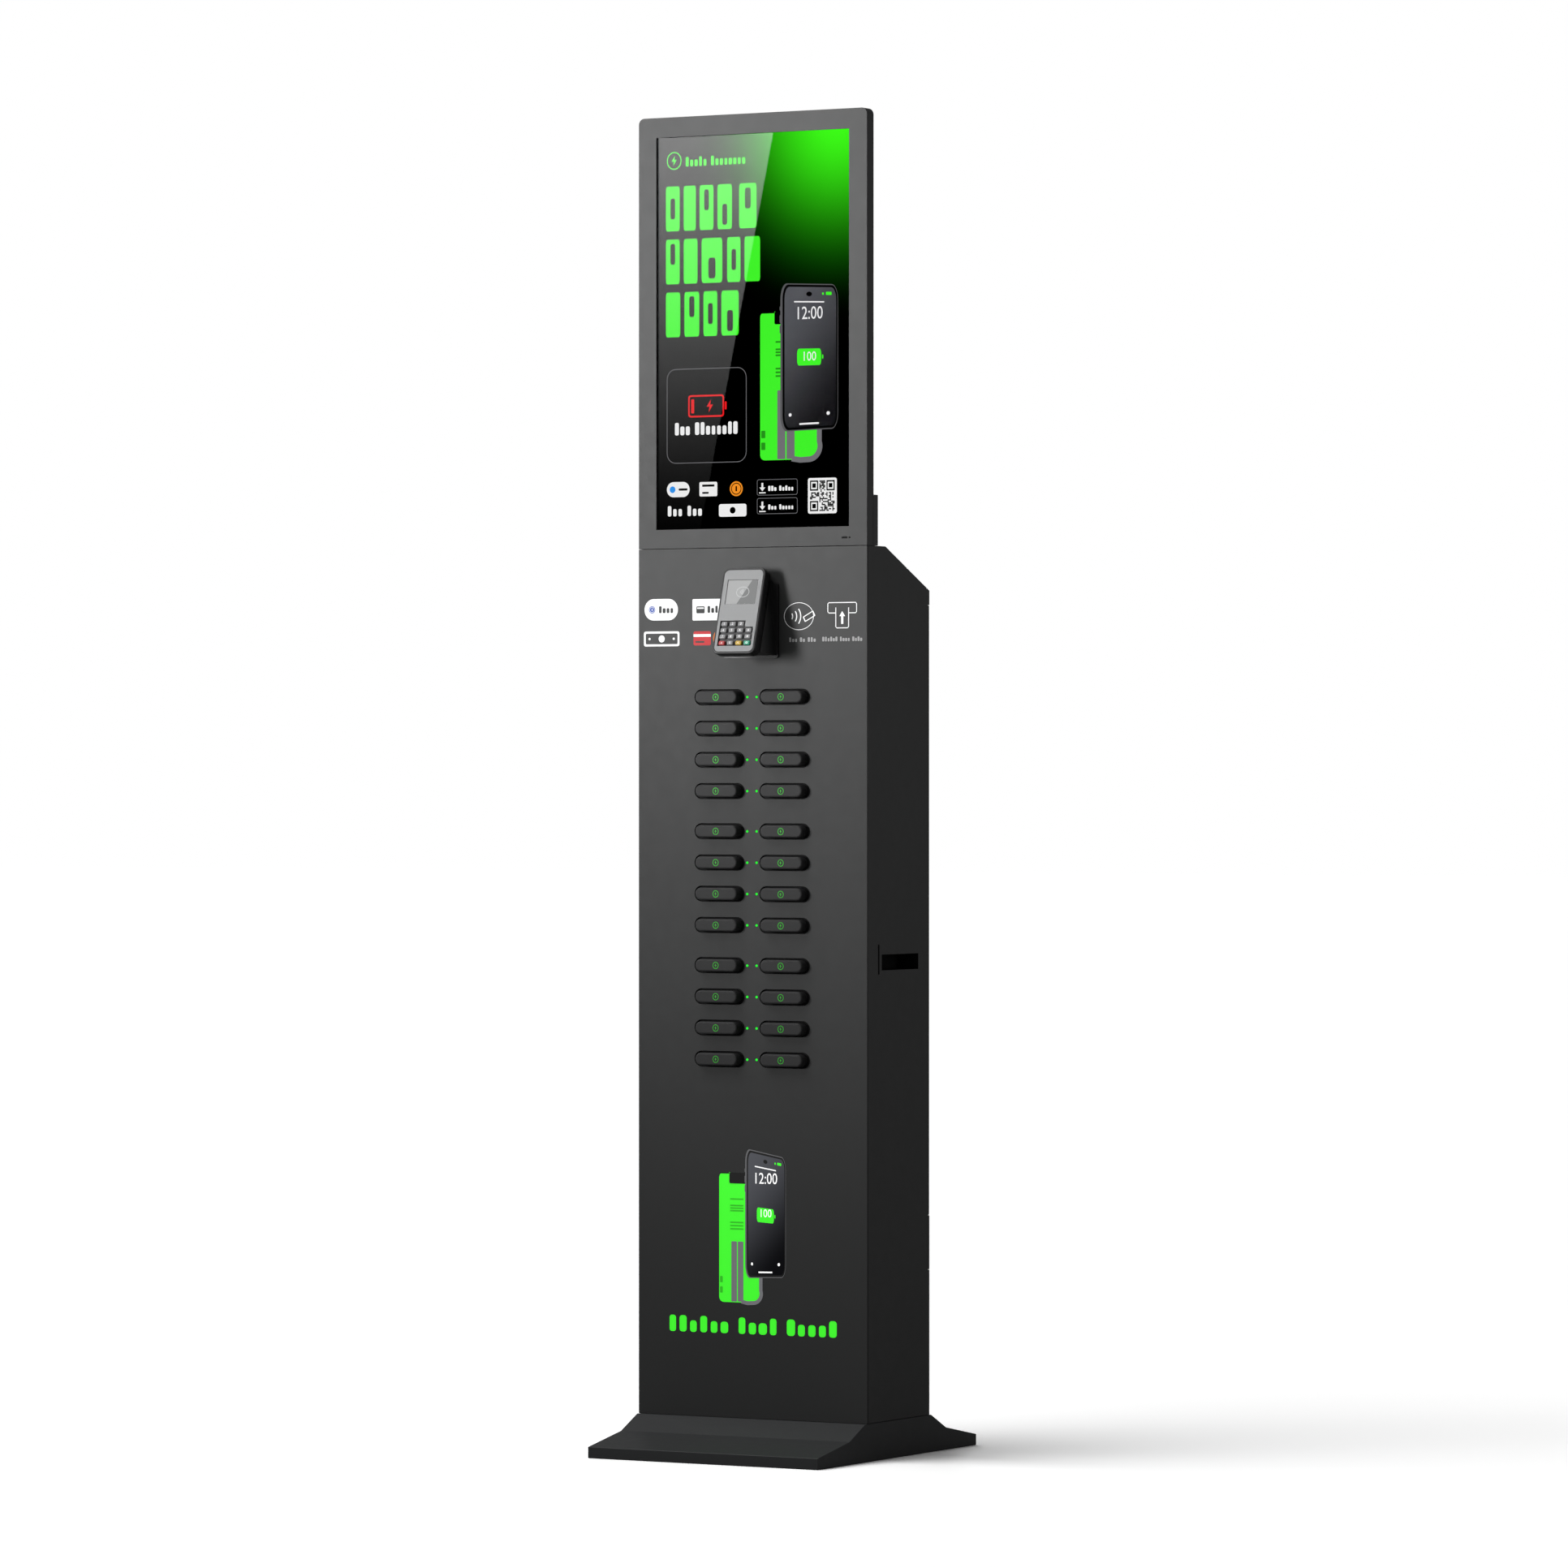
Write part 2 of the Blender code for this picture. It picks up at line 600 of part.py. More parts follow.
def keypad_outline(margin=0.0):
    """L-shaped keypad window: four columns by four rows less the top-right cell."""
    x, z = 2 * KEY_PITCH_X - margin, 2 * KEY_PITCH_Z - margin
    notch_x, notch_z = KEY_PITCH_X - margin, KEY_PITCH_Z - margin
    corners = [(-x, -z), (x, -z), (x, notch_z), (notch_x, notch_z), (notch_x, z), (-x, z)]
    return [(a, KEYPAD_Z + b) for a, b in corners]


def terminal_faceplate(mats, tilt):
    bm = bmesh.new()
    prism(bm, rounded(FACE_WIDTH, FACE_LENGTH, FACE_CORNER, 5), "Y", 0, FACE_THICK)
    plate = add_object("terminal_faceplate", bm, mats["terminal_grey"], tilt)
    round_edges(plate, 0.5 * MM, segments=1)
    cuts = bmesh.new()
    prism(cuts, keypad_outline(), "Y", -5 * MM, 5 * MM)
    width, height, middle = SCREEN_WINDOW
    box(cuts, spread(0, width), (-5 * MM, 1.7 * MM), spread(middle, height))
    combine(plate, "DIFFERENCE", cuts)


def terminal_screen(mats, tilt):
    width, height, middle = SCREEN_WINDOW
    bm = bmesh.new()
    thick = (0.2 * MM, 1.4 * MM)
    box(bm, spread(0, width - 2 * GAP), thick, spread(middle, height - 2 * GAP))
    add_object("terminal_screen", bm, mats["screen_glass"], tilt)


def keys(mats, tilt):
    for row, labels in enumerate(KEY_ROWS):
        for column, label in enumerate(labels):
            bm = bmesh.new()
            rings = []
            for inset, behind in ((0.9, -0.5), (0.2, 0.2), (0, 3.9)):
                outline = rounded(
                    KEY_WIDTH - 2 * inset * MM, KEY_HEIGHT - 2 * inset * MM, 1.8 * MM, 2
                )
                rings.append([bm.verts.new((x, behind * MM, z)) for x, z in outline])
            loft_faces(bm, rings)
            location = (
                (column - 1.5) * KEY_PITCH_X,
                0,
                KEYPAD_Z + (1.5 - row) * KEY_PITCH_Z,
            )
            add_object(f"key_{label}", bm, mats["key_grey"], tilt, location)


# Rear door, lock and power inlet -----------------------------------------------------


def rear_door(mats):
    """Door on two knuckle hinges; its origin is on the hinge axis."""
    hinge = Vector((HINGE_X, HINGE_Y, 0))
    bm = bmesh.new()
    inner, outer = COVER_INNER - HINGE_Y, DOOR_REAR - HINGE_Y
    left, right = DOOR_LEFT - HINGE_X, HALF - HINGE_X
    box(bm, (left, right), (inner, outer), (DOOR_BOTTOM, DOOR_TOP))
    door = add_object("rear_door", bm, mats["powder_coat"], location=hinge)
    round_edges(door, 0.6 * MM, segments=1)
    flange_x = (-153 * MM - HINGE_X, 157 * MM - HINGE_X)
    flange_z = (DOOR_BOTTOM + 16 * MM, DOOR_TOP - 16 * MM)
    frame = bmesh.new()
    box(frame, flange_x, (inner - 10 * MM, inner + 1 * MM), flange_z)
    combine(door, "UNION", frame)
    pan = bmesh.new()
    pan_x = (flange_x[0] + WALL, flange_x[1] - WALL)
    pan_z = (flange_z[0] + WALL, flange_z[1] - WALL)
    box(pan, pan_x, (inner - 15 * MM, inner), pan_z)
    combine(door, "DIFFERENCE", pan)
    combine(door, "DIFFERENCE", door_holes(inner))
    barrels = bmesh.new()
    for height in HINGE_HEIGHTS:
        mesh_rings(barrels, [(circle(KNUCKLE_RADIUS), z) for z in spread(height, DOOR_KNUCKLE)])
    combine(door, "UNION", barrels)
    leaves = bmesh.new()
    for height in HINGE_HEIGHTS:
        leaf_y = (84.5 * MM - HINGE_Y, 87 * MM - HINGE_Y)
        box(leaves, (1.3 * MM, 26 * MM), leaf_y, spread(height, DOOR_KNUCKLE))
    combine(door, "UNION", leaves)
    bores = bmesh.new()
    for height in HINGE_HEIGHTS:
        bore = circle(HINGE_BORE_RADIUS, count=12)
        mesh_rings(bores, [(bore, z) for z in spread(height, DOOR_KNUCKLE + 5 * MM)])
    combine(door, "DIFFERENCE", bores)
    return door


def door_holes(inner):
    """The lock's hole and two groups of vent slots."""
    bm = bmesh.new()
    through = (inner - 5 * MM, inner + 8 * MM)
    lock = circle(LOCK_RADIUS + 0.5 * MM, (LOCK_X - HINGE_X, LOCK_Z))
    prism(bm, lock, "Y", *through)
    for base_z in (380 * MM, 980 * MM):
        for column in (-1, 0, 1):
            for row in range(8):
                slot_x = spread(column * 78 * MM - HINGE_X, 62 * MM)
                box(bm, slot_x, through, spread(base_z + row * 12 * MM, 3 * MM))
    return bm


def door_lock(mats):
    """Cam lock with its origin on its own axis; the cam points up while unlocked."""
    bm = bmesh.new()
    prism(bm, circle(LOCK_RADIUS), "Y", CAM_REAR - 0.5 * MM, DOOR_REAR + 1 * MM)
    lock = add_object("door_lock", bm, mats["lock_chrome"], location=(LOCK_X, 0, LOCK_Z))
    collar = bmesh.new()
    prism(collar, circle(10.5 * MM, count=24), "Y", DOOR_REAR + GAP, DOOR_REAR + 2.3 * MM)
    combine(lock, "UNION", collar)
    cam = bmesh.new()
    prism(cam, rounded(12 * MM, 40 * MM, 5.5 * MM, 3, (0, 9 * MM)), "Y", CAM_FRONT, CAM_REAR)
    combine(lock, "UNION", cam)
    keyway = bmesh.new()
    prism(keyway, rounded(2 * MM, 9 * MM, 0.9 * MM, 2), "Y", DOOR_REAR - 4 * MM, REAR + 9 * MM)
    combine(lock, "DIFFERENCE", keyway)


def inlet_panel(mats):
    """Removable panel with the mains socket and the housing of the rocker switch."""
    bm = bmesh.new()
    box(bm, (DOOR_LEFT, HALF), (COVER_INNER, REAR), (INLET_BOTTOM, INLET_TOP))
    panel = add_object("inlet_panel", bm, mats["powder_coat"])
    round_edges(panel, 0.6 * MM, segments=1)
    housings = bmesh.new()
    body_y = (62 * MM, COVER_INNER + 1 * MM)
    box(housings, spread(SOCKET_X, 31 * MM), body_y, spread(SOCKET_Z, 24 * MM))
    body_y = (70 * MM, COVER_INNER + 1 * MM)
    box(housings, spread(ROCKER_X, 17 * MM), body_y, spread(ROCKER_Z, 26 * MM))
    combine(panel, "UNION", housings)
    cuts = bmesh.new()
    socket = rounded(25 * MM, 17 * MM, 3 * MM, 2, (SOCKET_X, SOCKET_Z))
    prism(cuts, socket, "Y", 66 * MM, REAR + 5 * MM)
    cut_y = (73 * MM, REAR + 5 * MM)
    box(cuts, spread(ROCKER_X, 12.8 * MM), cut_y, spread(ROCKER_Z, 21.4 * MM))
    combine(panel, "DIFFERENCE", cuts)


def rocker_switch(mats):
    """Rocker that tips about its own X axis; it rests pressed in at its top end."""
    c, s = math.cos(ROCKER_TILT), math.sin(ROCKER_TILT)
    outline = [(-3, 3.5), (-3, -3.5), (3, -9.2), (5, -9.2), (3.4, 0), (5, 9.2), (3, 9.2)]
    tipped = [((y * c - z * s) * MM, (y * s + z * c) * MM) for y, z in outline]
    bm = bmesh.new()
    prism(bm, tipped, "X", -6 * MM, 6 * MM)
    location = (ROCKER_X, ROCKER_Y, ROCKER_Z)
    add_object("rocker_switch", bm, mats["terminal_black"], location=location)


# Electronics inside ------------------------------------------------------------------


def power_supply(mats):
    floor = CABINET_BOTTOM + WALL + GAP
    bm = bmesh.new()
    box(bm, (-108 * MM, 108 * MM), (-50 * MM, 50 * MM), (floor, floor + 50 * MM))
    supply = add_object("power_supply", bm, mats["panel_metal"])
    round_edges(supply, 1 * MM, segments=1)
    recess = bmesh.new()
    box(recess, (92 * MM, 115 * MM), (-60 * MM, 60 * MM), (floor + 16 * MM, floor + 60 * MM))
    combine(supply, "DIFFERENCE", recess)
    blocks = bmesh.new()
    for index in range(7):
        middle = (index - 3) * 12 * MM
        box(blocks, (94 * MM, 105 * MM), spread(middle, 9 * MM), (floor + 14 * MM, floor + 27 * MM))
    combine(supply, "UNION", blocks)


def controller_board(mats):
    """Main board on four standoffs behind the front panel, with its heat sink."""
    back = FRONT + PANEL_THICK + GAP
    board_y = (back + 14 * MM, back + 15.6 * MM)
    bm = bmesh.new()
    box(bm, (-95 * MM, 95 * MM), board_y, (1062 * MM, 1182 * MM))
    board = add_object("controller_board", bm, mats["circuit_board"])
    extras = bmesh.new()
    for x in (-88 * MM, 88 * MM):
        for z in (1069 * MM, 1175 * MM):
            prism(extras, circle(3 * MM, (x, z), 10), "Y", back, board_y[0] + 0.8 * MM)
    rise = board_y[1] - 0.8 * MM
    for index in range(9):
        fin_x = spread((index * 6 - 50) * MM, 2 * MM)
        box(extras, fin_x, (rise + 3 * MM, rise + 16 * MM), (1105 * MM, 1155 * MM))
    for x, z, width in ((40, 1172, 22), (66, 1172, 22), (40, 1072, 30), (0, 1072, 16)):
        box(extras, spread(x * MM, width * MM), (rise, rise + 12 * MM), spread(z * MM, 14 * MM))
    sink = bmesh.new()
    box(sink, (-55 * MM, 3 * MM), (rise, rise + 4 * MM), (1104 * MM, 1156 * MM))
    combine(board, "UNION", sink)
    combine(board, "UNION", extras)


def main():
    for obj in list(bpy.data.objects):
        bpy.data.objects.remove(obj, do_unlink=True)
    mats = make_materials()
    base_plinth(mats)
    cabinet_shell(mats)
    front_panel(mats)
    for group, name in enumerate(("upper", "middle", "lower")):
        slot_module(f"slot_module_{name}", group, mats)
    power_banks(mats)
    display_frame(mats)
    display_glass(mats)
    lcd_panel(mats)
    display_rear_cover(mats)
    display_mount_box(mats)
    tilt = add_empty("terminal_tilt", TERMINAL_CENTRE, -TERMINAL_TILT)
    terminal_bracket(mats)
    terminal_body(mats, tilt)
    terminal_faceplate(mats, tilt)
    terminal_screen(mats, tilt)
    keys(mats, tilt)
    rear_door(mats)
    door_lock(mats)
    inlet_panel(mats)
    rocker_switch(mats)
    power_supply(mats)
    controller_board(mats)


main()
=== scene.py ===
"""Looks of the phone charging kiosk: fine meshes and procedural materials built around
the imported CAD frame. Metres, in the frame's own axes: +Z up, front towards -Y."""

import math
import random

import bmesh
import bpy
from mathutils import Matrix, Vector

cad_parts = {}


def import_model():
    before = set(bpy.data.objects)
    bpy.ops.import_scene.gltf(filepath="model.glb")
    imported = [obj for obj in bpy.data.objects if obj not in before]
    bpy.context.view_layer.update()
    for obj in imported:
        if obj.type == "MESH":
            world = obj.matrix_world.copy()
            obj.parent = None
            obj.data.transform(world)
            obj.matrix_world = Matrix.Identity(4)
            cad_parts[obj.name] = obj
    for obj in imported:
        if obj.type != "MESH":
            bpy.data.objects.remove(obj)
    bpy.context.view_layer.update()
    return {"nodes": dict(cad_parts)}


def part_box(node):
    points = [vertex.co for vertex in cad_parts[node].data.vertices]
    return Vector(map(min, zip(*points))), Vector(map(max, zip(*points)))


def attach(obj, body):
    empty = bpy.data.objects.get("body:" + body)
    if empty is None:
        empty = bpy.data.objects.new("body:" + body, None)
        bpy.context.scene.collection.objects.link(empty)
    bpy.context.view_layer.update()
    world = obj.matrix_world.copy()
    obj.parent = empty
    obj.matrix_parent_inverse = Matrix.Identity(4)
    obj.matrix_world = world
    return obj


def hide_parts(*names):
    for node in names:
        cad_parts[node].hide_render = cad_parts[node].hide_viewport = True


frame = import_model()

MM = 0.001
QUARTER = math.radians(90)
SAME = 1e-6  # points closer together than this are one point
AS_IS = Matrix.Identity(4)
FACING_FRONT = Matrix.Rotation(QUARTER, 4, "X")  # an outline's depth turns towards -Y

# Places read from the frame
PANEL_LOW, PANEL_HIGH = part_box("front_panel")
FRONT = PANEL_LOW.y
HALF = PANEL_HIGH.x  # half the width of the cabinet
GLASS_LOW, GLASS_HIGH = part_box("display_glass")
LCD_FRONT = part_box("lcd_panel")[0].y
COVER_LOW, COVER_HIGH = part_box("display_rear_cover")
INLET_LOW, INLET_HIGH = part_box("inlet_panel")
MODULES = ("slot_module_upper", "slot_module_middle", "slot_module_lower")
BANKS = [f"power_bank_{side}_{n:02d}" for side in ("left", "right") for n in range(1, 13)]
BANK_LOW, BANK_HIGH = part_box(BANKS[0])
BANK_SIZE = BANK_HIGH - BANK_LOW
ROW_HEIGHTS = [sum(corner.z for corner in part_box(name)) / 2 for name in BANKS[:12]]
BAYS = [(side, height) for height in ROW_HEIGHTS for side in (-1, 1)]
COLUMN_X = sum(corner.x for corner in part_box(BANKS[12])) / 2

# Openings of the front panel, the sides and the display head
SLOT_WIDTH, SLOT_HEIGHT = 77.6 * MM, 21.3 * MM
LED_X, LED_HOLE = 7.25 * MM, 3.8 * MM
CABLE_HOLE = (-15 * MM, 15 * MM, 1105 * MM, 1120 * MM, 2 * MM)  # behind the terminal
GRIP = (4.25 * MM, 663 * MM)  # depth and height of the middle of both hand grips
SLIT = (-54.2 * MM, 667 * MM)  # and of the slits beside them
WINDOW = (-149.25, 149.25, 1244, 1773)  # display: left, right, bottom, top, in millimetres

# The terminal's tilted face
TERMINAL = Matrix.Translation((0, -121 * MM, 1132.65 * MM)) @ Matrix.Rotation(
    math.radians(-16), 4, "X"
)
FACE_WIDTH, FACE_LENGTH, FACE_THICK = 59.6 * MM, 114 * MM, 2.2 * MM
KEY_PITCH_X, KEY_PITCH_Z, KEYPAD_Z = 12.9 * MM, 8.8 * MM, -31.5 * MM
TERMINAL_WINDOW = (47 * MM, 34.5 * MM, 26.2 * MM)  # width, height, centre height
KEYS = "1 2 3 4 5 6 menu 7 8 9 alpha cancel 0 clear enter".split()


def span(start, near, far):
    """Two places along an axis, given in millimetres from a start."""
    return start + near * MM, start + far * MM


# Outlines: lists of (x, z) points, anticlockwise ---------------------------------------


def rounded(width, height, radius, centre=(0, 0), steps=8):
    """Rectangle with round corners; a radius of half the height makes a stadium."""
    points = []
    for quarter, (right, up) in enumerate(((1, 1), (-1, 1), (-1, -1), (1, -1))):
        for step in range(steps + 1):
            angle = QUARTER * (quarter + (step / steps if steps else 0.5))
            point = (
                centre[0] + right * (width / 2 - radius) + radius * math.cos(angle),
                centre[1] + up * (height / 2 - radius) + radius * math.sin(angle),
            )
            if not points or math.dist(point, points[-1]) > SAME:
                points.append(point)
    if math.dist(points[0], points[-1]) < SAME:
        points.pop()
    return points


def panel_box(left, right, bottom, top, radius=0.0, steps=4):
    """Round-cornered rectangle from its four sides."""
    centre = ((left + right) / 2, (bottom + top) / 2)
    return rounded(right - left, top - bottom, radius, centre, steps if radius else 0)


def oval(width, height, centre=(0, 0), count=32):
    x, z = centre
    turns = [i * (math.tau / count) for i in range(count)]
    return [(x + width / 2 * math.cos(t), z + height / 2 * math.sin(t)) for t in turns]


def soft(corners, radius, steps=5):
    """Polygon whose corners are rounded off."""
    points = []
    for i, corner in enumerate(corners):
        corner = Vector(corner)
        before = Vector(corners[i - 1]) - corner
        after = Vector(corners[(i + 1) % len(corners)]) - corner
        start = corner + before.normalized() * min(radius, before.length / 2)
        end = corner + after.normalized() * min(radius, after.length / 2)
        for step in range(steps + 1):
            t = step / steps
            points.append((1 - t) ** 2 * start + 2 * t * (1 - t) * corner + t * t * end)
    return [tuple(point) for point in points]


def stroke(line, width):
    """Outline of a band of even width along a line of points."""
    left, right = [], []
    for i, point in enumerate(line):
        along = Vector(line[min(i + 1, len(line) - 1)]) - Vector(line[max(i - 1, 0)])
        along.normalize()
        across = Vector((-along.y, along.x)) * width / 2
        left.append(tuple(Vector(point) + across))
        right.append(tuple(Vector(point) - across))
    return right + left[::-1]


def arc(radius, start, end, centre=(0, 0), steps=12):
    """Points of an arc between two angles in degrees."""
    angles = [math.radians(start + (end - start) * i / steps) for i in range(steps + 1)]
    return [(centre[0] + radius * math.cos(a), centre[1] + radius * math.sin(a)) for a in angles]


def ring(width, height, line, centre=(0, 0)):
    """Two ovals that leave a closed band between them."""
    return [oval(width, height, centre), oval(width - 2 * line, height - 2 * line, centre)]


def moved(outline, x, z):
    return [(x + a, z + b) for a, b in outline]


def bolt(height, centre=(0, 0)):
    """Lightning flash."""
    shape = ((0.08, 0.5), (-0.3, -0.06), (-0.04, -0.06), (-0.12, -0.5), (0.28, 0.1), (0.03, 0.1))
    return [(centre[0] + height * x, centre[1] + height * z) for x, z in shape]


# Meshes --------------------------------------------------------------------------------


def add_object(name, data):
    obj = bpy.data.objects.new(name, data)
    bpy.context.scene.collection.objects.link(obj)
    return obj


def made(bm, name="shape"):
    """Mesh made from an edit mesh, which it uses up."""
    mesh = bpy.data.meshes.new(name)
    bm.to_mesh(mesh)
    bm.free()
    return mesh


def welded(mesh, finish):
    """Joins a mesh's doubled vertices and finishes it with one more edit."""
    mesh.materials.clear()
    bm = bmesh.new()
    bm.from_mesh(mesh)
    bmesh.ops.remove_doubles(bm, verts=bm.verts, dist=SAME)
    finish(bm)
    bm.to_mesh(mesh)
    bm.free()
    return mesh


def face_outwards(bm):
    bmesh.ops.recalc_face_normals(bm, faces=bm.faces)


def merge_flat_faces(bm):
    nearly_flat = math.radians(0.5)
    bmesh.ops.dissolve_limit(bm, angle_limit=nearly_flat, verts=bm.verts, edges=bm.edges)


def node_mesh(node):
    """Copy of a CAD node's shape with its split vertices joined again."""
    return welded(frame["nodes"][node].data.copy(), merge_flat_faces)


def curve_mesh(curve, matrix):
    holder = add_object(curve.name, curve)
    mesh = bpy.data.meshes.new_from_object(holder)
    bpy.data.objects.remove(holder)
    mesh.transform(matrix)
    return welded(mesh, face_outwards)


def on_plane(depth, base):
    """Takes flat shapes to the upright plane midway through a depth, in base's axes."""
    return base @ Matrix.Translation((0, sum(depth) / 2, 0)) @ FACING_FRONT


def sheet(outlines, depth, edge=0.0, base=AS_IS, unit=1.0):
    """Solid sheet between two depths; an outline inside another is a hole. Edges are
    rounded by so many millimetres. The unit is MM for outlines in millimetres."""
    near, far = depth
    curve = bpy.data.curves.new("sheet", "CURVE")
    curve.dimensions = "2D"
    curve.fill_mode = "BOTH"
    curve.extrude = (far - near) / 2 - edge * MM
    curve.bevel_depth = edge * MM
    curve.bevel_resolution = 2 if edge else 0
    curve.offset = -edge * MM
    for outline in outlines:
        spline = curve.splines.new("POLY")
        spline.points.add(len(outline) - 1)
        for point, (x, z) in zip(spline.points, outline):
            point.co = (x * unit, z * unit, 0, 1)
        spline.use_cyclic_u = True
    return curve_mesh(curve, on_plane(depth, base))


def figures(text, height, centre, depth, squeeze=1.0, base=AS_IS):
    """Solid figures between two depths."""
    curve = bpy.data.curves.new("figures", "FONT")
    curve.body = text
    curve.size = height * 1.43  # the font's own size for figures of this height
    curve.align_x = "CENTER"
    curve.align_y = "CENTER"
    curve.extrude = (depth[1] - depth[0]) / 2
    curve.resolution_u = 3
    place = base @ Matrix.Translation((centre[0], 0, centre[1]))
    return curve_mesh(curve, on_plane(depth, place) @ Matrix.Diagonal((squeeze, 1, 1, 1)))


def loft(rings, base=AS_IS):
    """Closed skin over rings of equal length, given as 3-D points."""
    bm = bmesh.new()
    loops = [[bm.verts.new(point) for point in points] for points in rings]
    bm.faces.new(loops[0])
    bm.faces.new(loops[-1])
    for low, high in zip(loops, loops[1:]):
        for i in range(len(low)):
            j = (i + 1) % len(low)
            bm.faces.new((low[i], low[j], high[j], high[i]))
    face_outwards(bm)
    bm.transform(base)
    return made(bm)


def block(x, y, z, edge=0.0, base=AS_IS):
    """Box over a span along each axis. Its edges are rounded by so many millimetres."""
    low, high = (Vector(corner) for corner in zip(x, y, z))
    bm = bmesh.new()
    bmesh.ops.create_cube(bm, size=1)
    bm.transform(Matrix.Translation((high + low) / 2) @ Matrix.Diagonal((*(high - low), 1)))
    if edge:
        bmesh.ops.bevel(
            bm, geom=bm.edges, offset=edge * MM, segments=2, profile=0.6, affect="EDGES"
        )
    bm.transform(base)
    return made(bm)


def turned(profile, centre, count=24, axis="Y"):
    """Solid of (radius, distance along the axis) points, in millimetres, turned about the
    X or Y axis."""
    turns = [math.tau * i / count for i in range(count)]
    rings = [
        [(r * MM * math.cos(t), r * MM * math.sin(t), d * MM) for t in turns] for r, d in profile
    ]
    to_axis = {"X": Matrix.Rotation(QUARTER, 4, "Y"), "Y": Matrix.Rotation(-QUARTER, 4, "X")}
    return loft(rings, Matrix.Translation(centre) @ to_axis[axis])


def tube(points, radius):
    """Round cable, its radius in millimetres, along a smooth line through the points."""
    curve = bpy.data.curves.new("tube", "CURVE")
    curve.dimensions = "3D"
    curve.bevel_depth = radius * MM
    curve.bevel_resolution = 2
    curve.resolution_u = 6
    curve.use_fill_caps = True
    spline = curve.splines.new("NURBS")
    spline.points.add(len(points) - 1)
    for point, place in zip(spline.points, points):
        point.co = (*place, 1)
    spline.order_u = 3
    spline.use_endpoint_u = True
    return curve_mesh(curve, AS_IS)


def carved(mesh, tools):
    """The mesh with the tool meshes taken out of it."""
    holder = add_object("carved", mesh)
    cutters = [add_object("cutter", tool) for tool in tools]
    for cutter in cutters:
        modifier = holder.modifiers.new("Cut", "BOOLEAN")
        modifier.operation = "DIFFERENCE"
        modifier.object = cutter
    depsgraph = bpy.context.evaluated_depsgraph_get()
    result = bpy.data.meshes.new_from_object(holder.evaluated_get(depsgraph))
    for obj in cutters + [holder]:
        bpy.data.objects.remove(obj)
    return result


# Pieces --------------------------------------------------------------------------------


def piece(name, parts, body="cabinet", slot=None, node=None, smooth=38):
    """One named piece from (mesh, material name) parts, riding on a body; it may stand for a
    CAD node. The slot argument is not used."""
    bm = bmesh.new()
    keys = list(dict.fromkeys(key for mesh, key in parts))
    for mesh, key in parts:
        start = len(bm.faces)
        bm.from_mesh(mesh)
        bm.faces.ensure_lookup_table()
        for face in bm.faces[start:]:
            face.material_index = keys.index(key)
    joined = made(bm, name)
    for key in keys:
        joined.materials.append(MATERIALS[key])
    joined.shade_smooth()
    joined.set_sharp_from_angle(angle=math.radians(smooth))
    obj = add_object(name, joined)
    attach(obj, body)
    slot or keys[0]
    if node:
        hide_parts(node)
    even_shading(obj)
    return obj


def even_shading(obj):
    """Large faces keep their own normals beside small rounded edges."""
    modifier = obj.modifiers.new("Shading", "WEIGHTED_NORMAL")
    modifier.keep_sharp = True
    modifier.weight = 100


def cad_piece(name, node, key, width, body="cabinet", segments=2):
    """A CAD node's own shape, with its sharp edges rounded by a width in millimetres."""
    obj = piece(name, [(node_mesh(node), key)], body, node=node, smooth=50)
    obj.modifiers.clear()
    modifier = obj.modifiers.new("Edges", "BEVEL")
    modifier.width = width * MM
    modifier.segments = segments
    modifier.limit_method = "ANGLE"
    modifier.angle_limit = math.radians(55)
    even_shading(obj)
    return obj


# Materials -----------------------------------------------------------------------------

MATERIALS = {}


def put(node, values):
    """Sets a node's sockets from a dict: constants directly, other sockets as links."""
    for name, value in values.items():
        if isinstance(value, bpy.types.NodeSocket):
            node.id_data.links.new(value, node.inputs[name])
        else:
            node.inputs[name].default_value = value


